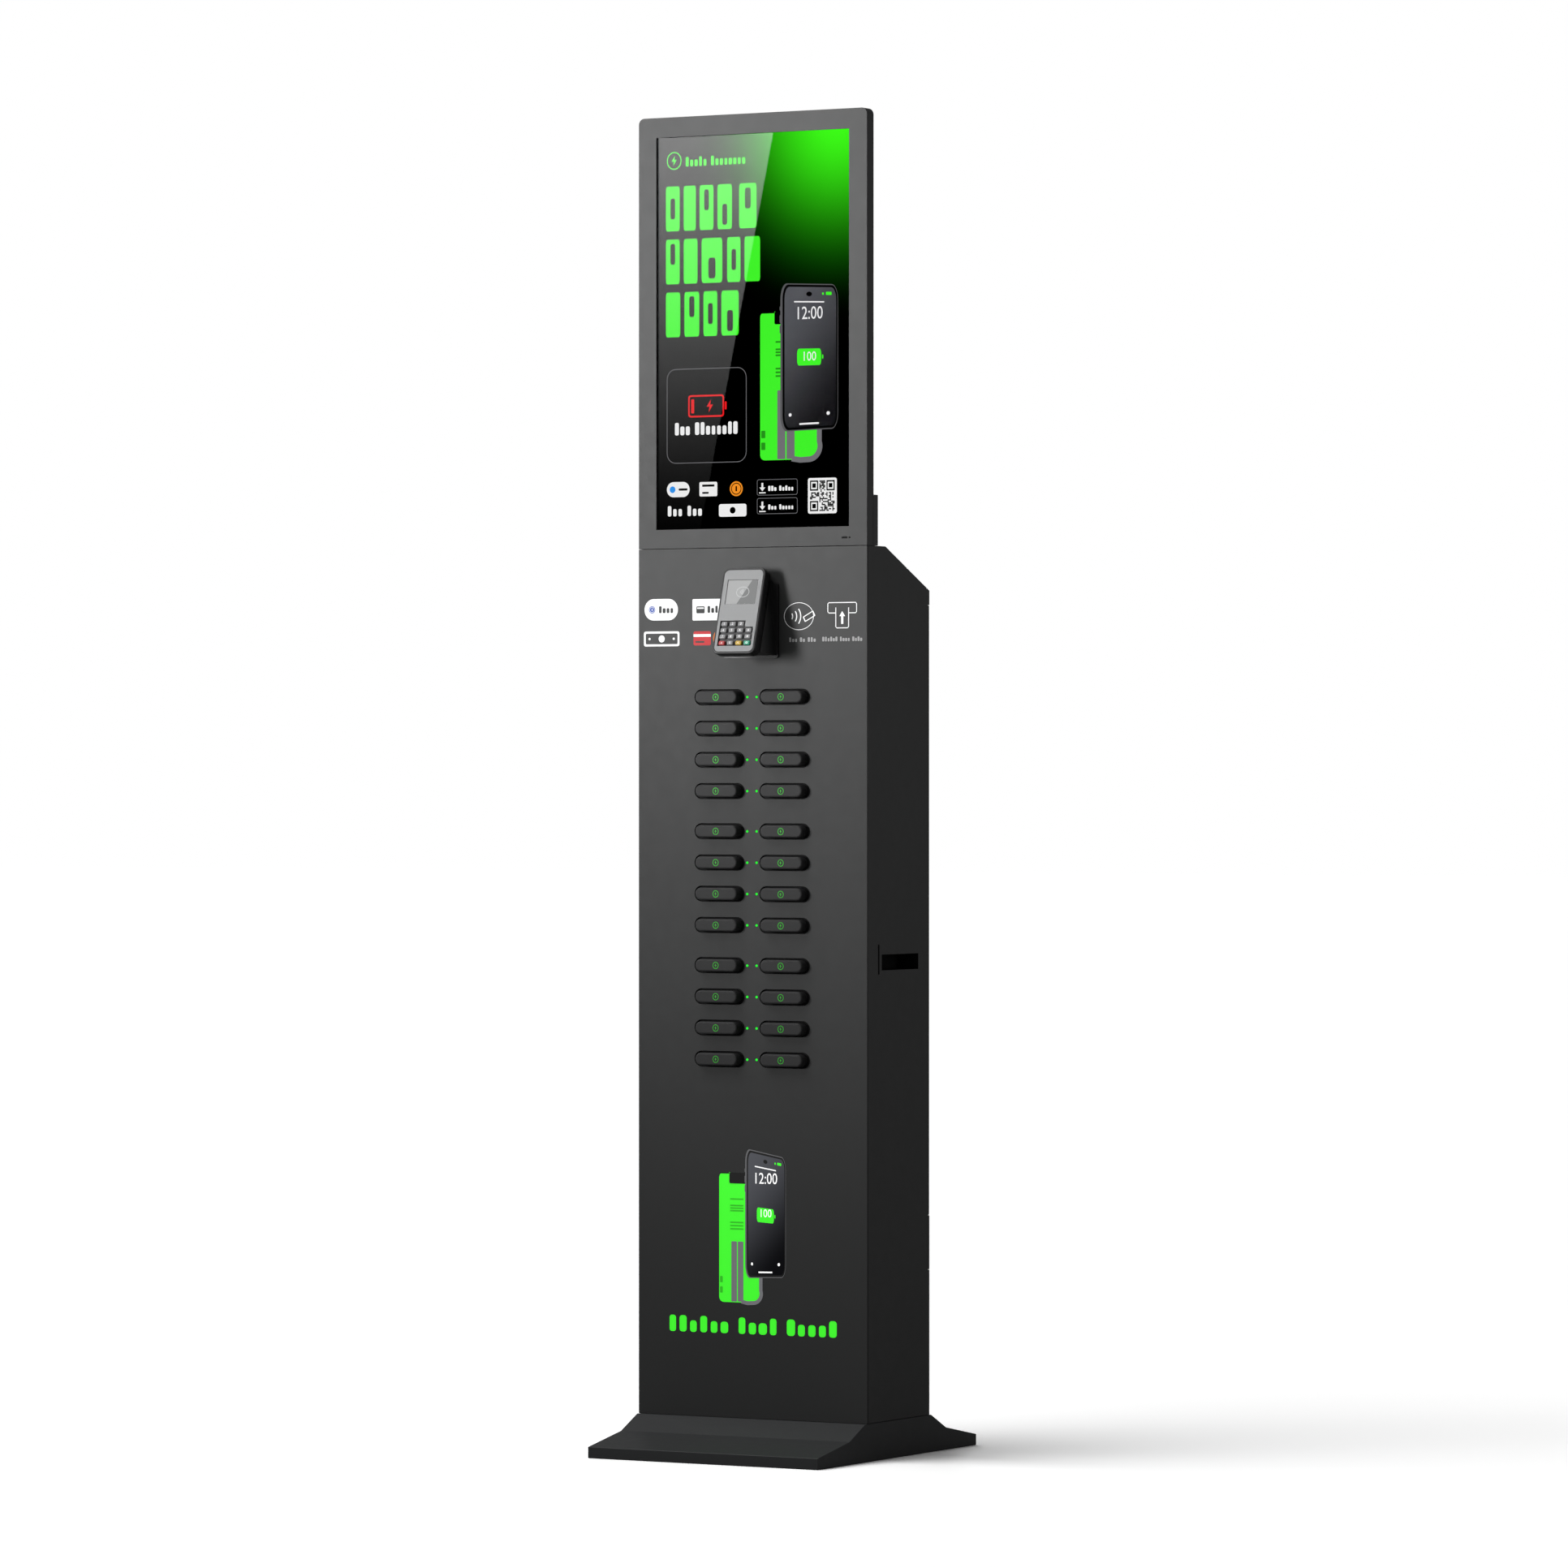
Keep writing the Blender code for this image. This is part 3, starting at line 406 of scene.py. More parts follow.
class Nodes:
    """Node tree of a material or a world, with a few short ways to add to it."""

    def __init__(self, owner):
        owner.use_nodes = True
        self.tree = owner.node_tree

    def put(self, node_name, values):
        put(self.tree.nodes[node_name], values)

    def look(self, values):
        self.put("Principled BSDF", values)

    def add(self, kind, values, **settings):
        node = self.tree.nodes.new(kind)
        for key, value in settings.items():
            setattr(node, key, value)
        put(node, values)
        return node

    def place(self):
        return self.add("ShaderNodeTexCoord", {}).outputs["Object"]

    def mapped(self, values, **settings):
        values = {**values, "Vector": self.place()}
        return self.add("ShaderNodeMapping", values, **settings).outputs["Vector"]

    def noise(self, scale, detail=2.0, stretch=None):
        source = self.mapped({"Scale": stretch}) if stretch else self.place()
        values = {"Scale": scale, "Detail": detail, "Vector": source}
        return self.add("ShaderNodeTexNoise", values).outputs["Fac"]

    def ramp(self, source, low, high, start=0.3, end=0.7, **settings):
        values = {"From Min": start, "From Max": end, "To Min": low, "To Max": high}
        values["Value"] = source
        return self.add("ShaderNodeMapRange", values, **settings).outputs["Result"]

    def fade(self, source, low, high, start, end):
        return self.ramp(source, low, high, start, end, interpolation_type="SMOOTHSTEP")

    def math(self, operation, first, second):
        values = {0: first, 1: second}
        return self.add("ShaderNodeMath", values, operation=operation).outputs[0]

    def mix(self, factor, first, second):
        """Blend of two colours, either of which may be a socket."""
        pair = [(*colour, 1) if isinstance(colour, tuple) else colour for colour in (first, second)]
        values = {0: factor, 6: pair[0], 7: pair[1]}
        return self.add("ShaderNodeMix", values, data_type="RGBA").outputs[2]

    def clouded(self, scale, detail, first, second):
        """Two colours in soft patches."""
        return self.mix(self.ramp(self.noise(scale, detail), 0, 1), first, second)

    def bump(self, *reliefs):
        """Chain of bumps from (height, strength, distance)."""
        normal = None
        for height, strength, distance in reliefs:
            values = {"Height": height, "Strength": strength, "Distance": distance}
            if normal:
                values["Normal"] = normal
            normal = self.add("ShaderNodeBump", values).outputs["Normal"]
        self.look({"Normal": normal})

    def shine(self, light, strength=1.0, roughness=0.4, base=0.0, specular=0.0):
        """A picture that gives its own light and reflects next to nothing."""
        self.look(
            {
                "Base Color": (base, base, base, 1),
                "Roughness": roughness,
                "Specular IOR Level": specular,
                "Emission Color": light,
                "Emission Strength": strength,
            }
        )


def material(name):
    """New material, kept under its name; gives its node tree."""
    MATERIALS[name] = bpy.data.materials.new(name)
    return Nodes(MATERIALS[name])


def shade(colour, share):
    return tuple(c * share for c in colour)


def surface(name, colour, roughness, grain=None, metallic=0.0, tint=0.04, specular=0.4):
    """Material with slight unevenness of colour and gloss. grain is the scale, strength
    and depth of its fine relief."""
    nodes = material(name)
    gloss = nodes.noise(120.0, 3.0)
    nodes.look(
        {
            "Metallic": metallic,
            "Specular IOR Level": specular,
            "Base Color": nodes.clouded(7.0, 3.0, shade(colour, 1 - tint), shade(colour, 1 + tint)),
            "Roughness": nodes.ramp(gloss, *roughness, 0.1, 0.9),
        }
    )
    if grain:
        scale, strength, depth = grain
        nodes.bump((nodes.noise(scale), strength, depth))


def powder_coat(name, colour, roughness=(0.54, 0.58), specular=0.25):
    """Baked powder paint: a fine dense grain over a faint orange-peel."""
    nodes = material(name)
    base = nodes.clouded(5.0, 4.0, shade(colour, 0.98), shade(colour, 1.02))
    speck = nodes.ramp(nodes.noise(2600.0, 1.0), 0, 0.5, 0.62, 0.8)
    nodes.look(
        {
            "Specular IOR Level": specular,
            "Base Color": nodes.mix(speck, base, shade(colour, 1.35)),
            "Roughness": nodes.ramp(nodes.noise(60.0, 4.0), *roughness),
        }
    )
    nodes.bump((nodes.noise(240.0), 0.05, 0.00006), (nodes.noise(1500.0), 0.35, 0.00006))


def printed(name, colour, glow=0.0):
    """Vinyl print: even colour, satin. glow is painted light: the print gives off its own
    light so that it stays bright in the shade of the lower panel."""
    nodes = material(name)
    fleck = nodes.clouded(900.0, 2.0, shade(colour, 0.96), colour)
    nodes.look(
        {
            "Base Color": fleck,
            "Specular IOR Level": 0.2,
            "Roughness": nodes.ramp(nodes.noise(80.0), 0.45, 0.5),
        }
    )
    # painted glow: a print that is no lamp gives off light of its own colour
    if glow:
        nodes.look({"Emission Color": fleck, "Emission Strength": glow})


def lit(name, colour, strength=1.0, unevenness=0.02):
    """Part of a lit display: its own light, with the fine mesh of the picture dots."""
    nodes = material(name)
    dots = nodes.ramp(nodes.noise(3500.0, 0.0), 1 - unevenness, 1.0)
    nodes.shine(nodes.mix(dots, shade(colour, 1 - unevenness), colour), strength)


def glow_picture(name):
    """Black picture with a green glow that fades away from its top right corner."""
    nodes = material(name)
    corner, reach = (0.130, LCD_FRONT, 1.800), (0.240, 10.0, 0.265)
    ellipse = nodes.mapped({"Location": corner, "Scale": reach}, vector_type="TEXTURE")
    away = nodes.add("ShaderNodeVectorMath", {0: ellipse}, operation="LENGTH")
    fade = nodes.fade(away.outputs["Value"], 1.0, 0.0, 0.0, 1.2)
    green = nodes.mix(nodes.math("POWER", fade, 2.6), (0, 0, 0), (0.045, 0.95, 0.009))
    nodes.shine(green, 1.17, 0.5)


def phone_picture(name, centre, height):
    """Dark wallpaper of a phone that fades from grey to black across it. The centre and
    height are in millimetres."""
    nodes = material(name)
    slope = Vector((-0.75, 0, 0.66))
    values = {0: nodes.place(), 1: slope}
    along = nodes.add("ShaderNodeVectorMath", values, operation="DOT_PRODUCT")
    middle = slope.x * centre[0] * MM + slope.z * centre[1] * MM
    ends = span(middle, -0.35 * height, 0.42 * height)
    fade = nodes.fade(along.outputs["Value"], 0, 1, *ends)
    wallpaper = nodes.mix(fade, (0.003, 0.003, 0.004), (0.085, 0.088, 0.10))
    # it gives its own light: on the screen the display's light, on the panel print painted glow
    nodes.shine(wallpaper, base=0.001, specular=0.02)


def clear_glass(name):
    nodes = material(name)
    clear = nodes.clouded(30.0, 3.0, (0.985, 0.985, 0.985), (1, 1, 1))
    nodes.look({"Transmission Weight": 1.0, "IOR": 1.45, "Roughness": 0.0, "Base Color": clear})


def circuit_board(name):
    """Green lacquer with a fine pattern of copper tracks under it."""
    nodes = material(name)
    values = {
        "Scale": 90.0,
        "Mortar Size": 0.03,
        "Color1": (0.006, 0.07, 0.026, 1),
        "Color2": (0.008, 0.085, 0.032, 1),
        "Mortar": (0.02, 0.16, 0.06, 1),
        "Vector": nodes.mapped({"Rotation": (QUARTER, 0, 0)}),
    }
    brick = nodes.add("ShaderNodeTexBrick", values)
    nodes.look({"Roughness": 0.35, "Base Color": brick.outputs["Color"]})
    nodes.bump((brick.outputs["Fac"], 0.3, 0.00005))


def brushed(name, colour, roughness=(0.25, 0.42)):
    """Metal with short drawn scratches."""
    nodes = material(name)
    lines = nodes.noise(70.0, 4.0, (1, 1, 18))
    nodes.look(
        {
            "Metallic": 1.0,
            "Base Color": nodes.mix(nodes.ramp(lines, 0, 1), shade(colour, 0.85), colour),
            "Roughness": nodes.ramp(lines, *roughness),
        }
    )
    nodes.bump((nodes.noise(260.0, 3.0, (1, 1, 12)), 0.15, 0.00004))


def body_materials():
    grey = (0.030, 0.0305, 0.0305)
    powder_coat("powder_coat", grey)
    powder_coat("panel_coat", grey)
    powder_coat("base_coat", (0.029, 0.030, 0.031), (0.46, 0.50), 0.22)
    grain = (1800, 0.2, 0.00004)
    surface("bank_plastic", (0.029, 0.029, 0.0295), (0.52, 0.6), grain, specular=0.15)
    grain = (1400, 0.3, 0.00005)
    surface("module_plastic", (0.004, 0.004, 0.0042), (0.55, 0.7), grain, specular=0.1)
    clear_glass("screen_glass")
    surface("screen_border", (0.004, 0.004, 0.004), (0.2, 0.25), tint=0.02)
    surface("terminal_black", (0.006, 0.006, 0.0065), (0.35, 0.5), (1600, 0.25, 0.00004))
    surface("terminal_grey", (0.21, 0.213, 0.215), (0.34, 0.40), (2200, 0.1, 0.00002))
    surface("keypad_well", (0.02, 0.02, 0.021), (0.4, 0.5))
    surface("key_grey", (0.17, 0.171, 0.173), (0.35, 0.45))
    surface("key_red", (0.33, 0.03, 0.03), (0.35, 0.45))
    surface("key_yellow", (0.42, 0.27, 0.03), (0.35, 0.45))
    surface("key_green", (0.03, 0.28, 0.17), (0.35, 0.45))
    surface("key_print", (0.8, 0.8, 0.8), (0.4, 0.5), tint=0.03)


def inner_materials():
    brushed("lcd_metal", (0.55, 0.56, 0.57))
    brushed("supply_metal", (0.62, 0.63, 0.64), (0.3, 0.5))
    brushed("contact_gold", (0.85, 0.62, 0.25), (0.2, 0.35))
    circuit_board("circuit_board")
    surface("chip_plastic", (0.012, 0.012, 0.013), (0.45, 0.55))
    surface("connector_plastic", (0.55, 0.53, 0.47), (0.45, 0.55))
    surface("lock_chrome", (0.62, 0.63, 0.64), (0.14, 0.24), metallic=1.0)
    surface("fastener_metal", (0.11, 0.11, 0.115), (0.3, 0.42), metallic=1.0, tint=0.06)
    surface("switch_black", (0.012, 0.012, 0.013), (0.25, 0.35))
    surface("cable_black", (0.010, 0.010, 0.011), (0.45, 0.6))
    surface("cable_red", (0.30, 0.015, 0.012), (0.45, 0.55))
    surface("cable_blue", (0.012, 0.05, 0.25), (0.45, 0.55))


def picture_materials():
    glow_picture("screen_picture")
    phone_picture("phone_picture", (86, 1471), 198)
    # phone_print is printed on the panel yet gives off its own light: painted glow
    phone_picture("phone_print", (21, 326), 174)
    lit("terminal_lcd", (0.27, 0.275, 0.275), 1.0, 0.08)
    # painted reflection: the lighter patch on the terminal's picture stands in for glare
    lit("terminal_painted_glare", (0.5, 0.505, 0.505), 1.0, 0.06)
    lit("terminal_icon", (0.72, 0.73, 0.73))
    lit("led_green", (0.03, 0.85, 0.045), 1.1)
    lit("lit_green", (0.055, 0.95, 0.025))
    lit("lit_green_dark", (0.02, 0.30, 0.012))
    lit("lit_white", (0.9, 0.9, 0.9))
    lit("lit_red", (0.85, 0.012, 0.016))
    lit("lit_amber", (0.95, 0.30, 0.02))
    lit("lit_blue", (0.03, 0.30, 0.85))
    lit("lit_grey", (0.17, 0.17, 0.18))
    lit("lit_frame", (0.10, 0.10, 0.105))
    lit("lit_black", (0.001, 0.001, 0.001))
    printed("print_white", (0.82, 0.82, 0.82))
    printed("print_black", (0.012, 0.012, 0.012))
    printed("print_blue", (0.01, 0.06, 0.32))
    printed("print_amber", (0.45, 0.11, 0.004))
    printed("print_red", (0.45, 0.004, 0.008))
    printed("print_line", (0.3, 0.3, 0.3))
    # these prints glow: painted light that keeps them bright in the shade of the lower panel
    printed("print_green", (0.05, 0.85, 0.025), 0.6)
    printed("print_green_low", (0.03, 0.45, 0.015), 0.5)
    printed("print_grey", (0.16, 0.16, 0.17), 0.45)
    printed("print_frame", (0.11, 0.11, 0.115), 0.5)
    printed("print_light", (0.9, 0.9, 0.9), 0.7)
    # icon_green glows faintly: painted glow on the banks' printed icons
    printed("icon_green", (0.03, 0.42, 0.02), 0.06)


# Cabinet and base ----------------------------------------------------------------------


def front_panel():
    outlines = [panel_box(-HALF, HALF, PANEL_LOW.z, PANEL_HIGH.z)]
    for side, height in BAYS:
        slot = (side * COLUMN_X, height)
        outlines.append(rounded(SLOT_WIDTH, SLOT_HEIGHT, SLOT_HEIGHT / 2, slot, 12))
        outlines.append(oval(LED_HOLE, LED_HOLE, (side * LED_X, height), 16))
    outlines.append(panel_box(*CABLE_HOLE))
    mesh = sheet(outlines, (FRONT, PANEL_HIGH.y), 0.3)
    piece("front_skin", [(mesh, "panel_coat")], node="front_panel")


def sheet_metal_parts():
    """Folded steel parts, with softened folds, from their CAD shapes."""
    cad_piece("plinth", "base_plinth", "base_coat", 0.5)
    paint_grip_shade(cad_piece("shell", "cabinet_shell", "powder_coat", 0.35))
    cad_piece("head_beam", "display_mount_box", "powder_coat", 0.4)
    cad_piece("inlet_cover", "inlet_panel", "powder_coat", 0.3)


def paint_grip_shade(shell):
    """Painted shade: black on the inner faces of both hand grips, for the dark inside the deep
    recesses.
    """
    # painted shade: the recess faces get a black material
    shell.data.materials.append(MATERIALS["module_plastic"])
    floor_x, mouth_x = span(HALF, -33.5, -2)
    half_length, half_height = 51 * MM, 11 * MM
    for face in shell.data.polygons:
        x, y, z = face.center
        inside = floor_x < abs(x) < mouth_x
        if inside and abs(y - GRIP[0]) < half_length and abs(z - GRIP[1]) < half_height:
            face.material_index = 1


def slit_painted_shade():
    """Painted shade: black blocks behind the narrow slits beside the hand grips keep the slits dark
    inside.
    """
    parts = []
    for side in (-1, 1):
        wall = sorted(side * x for x in span(HALF, -14, -1.6))
        hollow = sorted(side * x for x in span(HALF, -12.5, 0))
        # painted shade: a black block put behind the slit, hollowed where it meets it
        shade_block = block(wall, span(SLIT[0], -4.5, 4.5), span(SLIT[1], -23, 23), 0.4)
        mouth = block(hollow, span(SLIT[0], -2.7, 2.7), span(SLIT[1], -21.2, 21.2))
        parts.append((carved(shade_block, [mouth]), "module_plastic"))
    piece("slit_painted_shade", parts)


def screws(name, places, radius):
    """Round-headed screws with a plain recess. Each place is the centre of the seat; the
    radius is in millimetres."""
    shape = ((1, 0), (1, 0.525), (0.93, 1.05), (0.72, 1.425), (0.5, 1.5), (0.48, 0.45))
    profile = [(share * radius, height) for share, height in shape]
    piece(name, [(turned(profile, place), "fastener_metal") for place in places], smooth=30)


def status_lights():
    """A green lens at each bay's light pipe."""
    profile = ((1.7, 0.5), (1.7, -0.1), (1.53, -0.32), (1.156, -0.5), (0.612, -0.6), (0.17, -0.62))
    places = [(side * LED_X, FRONT - 0.3 * MM, height) for side, height in BAYS]
    piece("status_lights", [(turned(profile, place, 16), "led_green") for place in places])


# Power banks ---------------------------------------------------------------------------


def bank_shell():
    """A bank's body about its own axis, from a rounded front face to a flat tail, with a
    seam between the cap and the sleeve."""
    width, height, length = BANK_SIZE.x, BANK_SIZE.z, BANK_SIZE.y
    lip = 2.4 * MM
    profile = [(4.2 * MM, 0.0)]
    for step in range(7):
        angle = QUARTER * step / 6
        profile.append((lip * (1 - math.sin(angle)), lip * (1 - math.cos(angle))))
    seam = 13 * MM
    profile += [(0, seam - 0.5 * MM), (0.45 * MM, seam - 0.3 * MM), (0.45 * MM, seam + 0.3 * MM)]
    profile += [(0, seam + 0.5 * MM), (0, length - 1.2 * MM), (0.9 * MM, length)]
    rings = []
    for inset, depth in profile:
        radius = height / 2 - inset
        outline = rounded(width - 2 * inset, height - 2 * inset, radius, steps=9)
        rings.append([(x, depth, z) for x, z in outline])
    return loft(rings)


def bank_marks():
    """Green ring and flash on the front face, flush contacts by the tail."""
    outlines = ring(9.2, 9.6, 0.9) + [bolt(5.6)]
    parts = [(sheet(outlines, span(0, -0.07, 0.3), unit=MM), "icon_green")]
    for x in (-7.5, -2.5, 2.5, 7.5):
        tail = span(BANK_SIZE.y, -14, -6)
        contact = block(span(x * MM, -1.4, 1.4), tail, span(BANK_SIZE.z / 2, -0.4, 0.08), 0.05)
        parts.append((contact, "contact_gold"))
    return parts


def power_banks():
    parts = [(bank_shell(), "bank_plastic")] + bank_marks()
    for name in BANKS:
        low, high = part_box(name)
        place = Matrix.Translation(((low.x + high.x) / 2, low.y, (low.z + high.z) / 2))
        here = []
        for mesh, key in parts:
            mesh = mesh.copy()
            mesh.transform(place)
            here.append((mesh, key))
        piece(name.replace("power_bank", "bank"), here, name, node=name, smooth=50)


# Display head --------------------------------------------------------------------------


def head_outline(inset=0.0):
    """Front outline of the head in millimetres: round upper corners, square lower ones."""
    left, right = COVER_LOW.x / MM + inset, COVER_HIGH.x / MM - inset
    bottom, top = COVER_LOW.z / MM + inset, COVER_HIGH.z / MM - inset
    corner = 8.5 - inset
    outline = [(left, bottom), (right, bottom)]
    outline += arc(corner, 0, 90, (right - corner, top - corner))
    return outline + arc(corner, 90, 180, (left + corner, top - corner))


def sensor_outlines(inset=0.0):
    """The long and the round sensor hole at the foot of the head."""
    long_hole = rounded(9 - inset, 2.3 - inset, 1.15 - inset / 2, (142.5, 1229), 4)
    return [long_hole, oval(2.3 - inset, 2.3 - inset, (150.3, 1229), 12)]


def head_surround():
    """Shallow steel pan with the display's window and two small sensor holes."""
    outlines = [head_outline(), panel_box(*WINDOW)] + sensor_outlines()
    solid = sheet(outlines, (FRONT, COVER_LOW.y - 0.3 * MM), 0.4, unit=MM)
    hollow = sheet([head_outline(2)], (FRONT + 2 * MM, 0), unit=MM)
    piece("head_surround", [(carved(solid, [hollow]), "powder_coat")], node="display_frame")
    lenses = [sheet([o], span(FRONT, 0.3, 2.9), 0.1, unit=MM) for o in sensor_outlines(0.2)]
    piece("sensor_lenses", [(lens, "module_plastic") for lens in lenses], slot="screen_glass")


def display_glass():
    edge = panel_box(GLASS_LOW.x, GLASS_HIGH.x, GLASS_LOW.z, GLASS_HIGH.z, 2 * MM)
    pane = sheet([edge], span(GLASS_LOW.y, 0, 2.6), 0.3)
    piece("cover_glass", [(pane, "screen_glass")], node="display_glass")
    left, right, bottom, top = WINDOW
    picture = panel_box(left - 1, right + 1, bottom - 1, top + 1)
    on_screen("screen_glow", [([picture], "screen_picture", 0)])


def screen_layer(number):
    """Near and far planes of one layer of the picture, counted from the back."""
    near = LCD_FRONT - (0.12 + 0.05 * number) * MM
    return near, near + 0.04 * MM


def panel_layer(number):
    """The same for prints on the front panel, which sit one on another."""
    return FRONT - 0.06 * number * MM, FRONT + 0.03 * MM


def pictures(name, items, layer, slot):
    """Piece made of flat (outlines, material, layer number) shapes, in millimetres."""
    parts = [(sheet(outlines, layer(number), unit=MM), key) for outlines, key, number in items]
    piece(name, parts, slot=slot)


def on_screen(name, items):
    pictures(name, items, screen_layer, "screen_image")


def on_panel(name, items):
    pictures(name, items, panel_layer, "decal_print")


def block_shape(kind):
    """Outlines of a tall block in a unit square: plain, or with one slot high up, in the
    middle or low down."""
    outlines = [rounded(1, 1, 0.10, (0.5, 0.5), 3)]
    if kind:
        slot_height = (0.67, 0.5, 0.33)[kind - 1]
        outlines.append(rounded(0.34, 0.46, 0.08, (0.5, slot_height), 3))
    return outlines


def block_word(widths, left, bottom, height, kinds):
    """Row of tall pierced blocks that stands for a line of bold lettering. A width of
    nothing is a space."""
    outlines = []
    gap = 0.065 * height
    for width, kind in zip(widths, kinds):
        if width:
            for outline in block_shape(kind):
                outlines.append([(left + 0.9 * x * width, bottom + z * height) for x, z in outline])
            left += width + gap
        else:
            left += 1.2 * gap
    return outlines


def caption(letters, left, right, bottom, height, seed):
    """Small upright blocks for a line of lettering; letters gives each word's length."""
    shapes = random.Random(seed)
    space = 0.7  # of a letter's pitch
    pitch = (right - left) / (sum(letters) + space * (len(letters) - 1))
    outlines = []
    for word in letters:
        for index in range(word):
            tall = index == 0 or shapes.random() < 0.3
            width = pitch * shapes.uniform(0.62, 0.8)
            top = height if tall else 0.7 * height
            middle = (left + pitch / 2, bottom + top / 2)
            outlines.append(rounded(width, top, 0.35 * width, middle, 3))
            left += pitch
        left += space * pitch
    return outlines


def phone_shapes(green, black, rim, face, white):
    """A phone's (material, layer, outlines), drawn in a unit square."""
    buttons = ((0.83, 0.03), (0.76, 0.055), (0.69, 0.055))
    yield rim, 3, [rounded(0.03, tall, 0.01, (0.0, middle), 2) for middle, tall in buttons]
    yield rim, 4, [rounded(1, 1, 0.11, (0.5, 0.5), 8)]
    yield black, 5, [rounded(0.955, 0.985, 0.10, (0.515, 0.5), 8)]
    yield face, 6, [rounded(0.895, 0.955, 0.085, (0.52, 0.5), 8)]
    yield black, 7, [oval(0.10, 0.032, (0.5, 0.93), 20)]
    status = rounded(0.10, 0.022, 0.008, (0.84, 0.935), 2)
    yield green, 7, [status, rounded(0.03, 0.016, 0.004, (0.74, 0.933), 2)]
    lines = [panel_box(0.24, 0.76, 0.872, 0.881), rounded(0.34, 0.012, 0.005, (0.5, 0.045), 2)]
    dots = [oval(0.05, 0.024, (0.17, 0.11), 12), oval(0.06, 0.026, (0.83, 0.11), 12)]
    yield white, 7, lines + dots
    pill = rounded(0.42, 0.115, 0.035, (0.5, 0.50), 5)
    yield green, 7, [pill, rounded(0.025, 0.03, 0.01, (0.735, 0.50), 3)]


def bank_shapes(left, low, high, width, height, green, dark, black, grey):
    """The power bank behind the phone, with its cable: (outlines, material, layer)."""
    right = left + 1.02 * width

    def across(start, end, bottom, top, radius=0.0):
        return panel_box(left + start * width, left + end * width, bottom, top, radius)

    def notes(start, end, shares, tall, radius=0.0):
        return [
            across(start, end, low + s * height, low + (s + tall) * height, radius) for s in shares
        ]

    strips = [across(x, x + 0.14, low + 1, low + 0.47 * height, 1) for x in (0.30, 0.46)]
    cable = [(left + 0.55 * width, low + 1.5), (left + 0.7 * width, low - 0.5)]
    cable += arc(0.2 * width, -90, 20, (left + 0.84 * width, low + 0.2 * width), 12)
    cable += [(left + 1.03 * width, low + 0.3 * height)]
    lines = notes(0.27, 0.6, (0.56, 0.585, 0.61, 0.70, 0.72, 0.74, 0.79), 0.012)
    cap = panel_box(left + 0.25 * width, right, high - 0.085 * height, high, 2)
    return [
        ([panel_box(left, right, low, high, 7)], green, 1),
        ([cap], black, 2),
        ([across(0.02, 0.25, high - 0.01 * height, high, 0.6)], black, 2),
        (strips, grey, 2),
        ([stroke(cable, 0.085 * width)], grey, 3),
        (lines + notes(0.02, 0.09, (0.07, 0.15), 0.05, 1), dark, 2),
    ]


def charging_phone(where, place, drop, bank_out, inks, layer, slot):
    """Picture of a phone in front of a green power bank, as a card turned about its left
    edge: its right side is shorter by drop at the top and a little at the bottom. place
    is its left, bottom, width and height in millimetres."""
    left, bottom, width, height = place
    green, dark, black, grey, rim, face, white = inks
    lift = 0.012

    def on_phone(points):
        return [
            (left + width * x, bottom + height * (z * (1 - x * (drop + lift)) + x * lift))
            for x, z in points
        ]

    low, high = bottom - 0.19 * height, bottom + 0.81 * height
    items = bank_shapes(left - bank_out, low, high, width, height, green, dark, black, grey)
    for key, number, outlines in phone_shapes(green, black, rim, face, white):
        items.append(([on_phone(outline) for outline in outlines], key, number))
    pictures(f"{where}_phone", items, layer, slot)
    parts = []
    middle = left + width / 2
    clock = bottom + 0.80 * height - height * drop / 2
    for text, size, z, squeeze in (
        ("12:00", 0.085, clock, 0.8),
        ("100", 0.062, bottom + 0.50 * height, 0.85),
    ):
        place = (middle * MM, z * MM)
        parts.append((figures(text, size * height * MM, place, layer(8), squeeze), white))
    piece(f"{where}_figures", parts, slot=slot)


def screen_pictures():
    head = []
    lines = (
        ((24, 21, 24, 25, 0, 30), (2, 0, 1, 3, 0, 1)),
        ((24, 24, 36, 23, 27), (1, 0, 3, 2, 0)),
        ((25, 26, 24, 30), (0, 1, 2, 3)),
    )
    for index, (widths, kinds) in enumerate(lines):
        head += block_word(widths, -137, 1646.5 - 71.5 * index, 60.5, kinds)
    on_screen("screen_headline", [(head, "lit_green", 1)])
    middle = (-124, 1741.5)
    badge = ring(23, 24, 1.4, middle) + [bolt(14, middle)]
    badge += caption((5, 8), -107, -12, 1733, 13, 3)
    on_screen("screen_badge", [(badge, "lit_green", 1)])
    warning()
    inks = ["lit_green", "lit_green_dark", "lit_black", "lit_grey", "lit_frame"]
    inks += ["phone_picture", "lit_white"]
    place = (41.5, 1372.2, 88.7, 198.6)
    charging_phone("screen", place, 0.02, 31.4, inks, screen_layer, "screen_image")
    payment_row()


def warning():
    """Outlined box with a nearly empty battery and its caption."""
    middle = (-73.3, 1396.8)
    box = [rounded(124.5, 127.5, 14, middle, 6), rounded(122.7, 125.7, 13.1, middle, 6)]
    battery = [rounded(56, 30, 4, (-74, 1409.7), 4), rounded(51.4, 25.4, 2.4, (-74, 1409.7), 4)]
    battery += [rounded(3.2, 11, 1.4, (-43.6, 1409.7), 3), rounded(4.6, 19, 1, (-95, 1409.7), 2)]
    battery += [bolt(17, (-68, 1409.7))]
    items = [
        (box, "lit_grey", 1),
        (battery, "lit_red", 1),
        (caption((3, 8), -124, -24, 1371, 17, 5), "lit_white", 1),
    ]
    on_screen("screen_warning", items)


def coin(width, centre):
    """Disc with a ring and an upright bar let into it."""
    discs = [oval(share * width, share * width, centre) for share in (1, 0.8, 0.68)]
    return discs + [rounded(0.12 * width, 0.36 * width, 0.05 * width, centre, 3)]


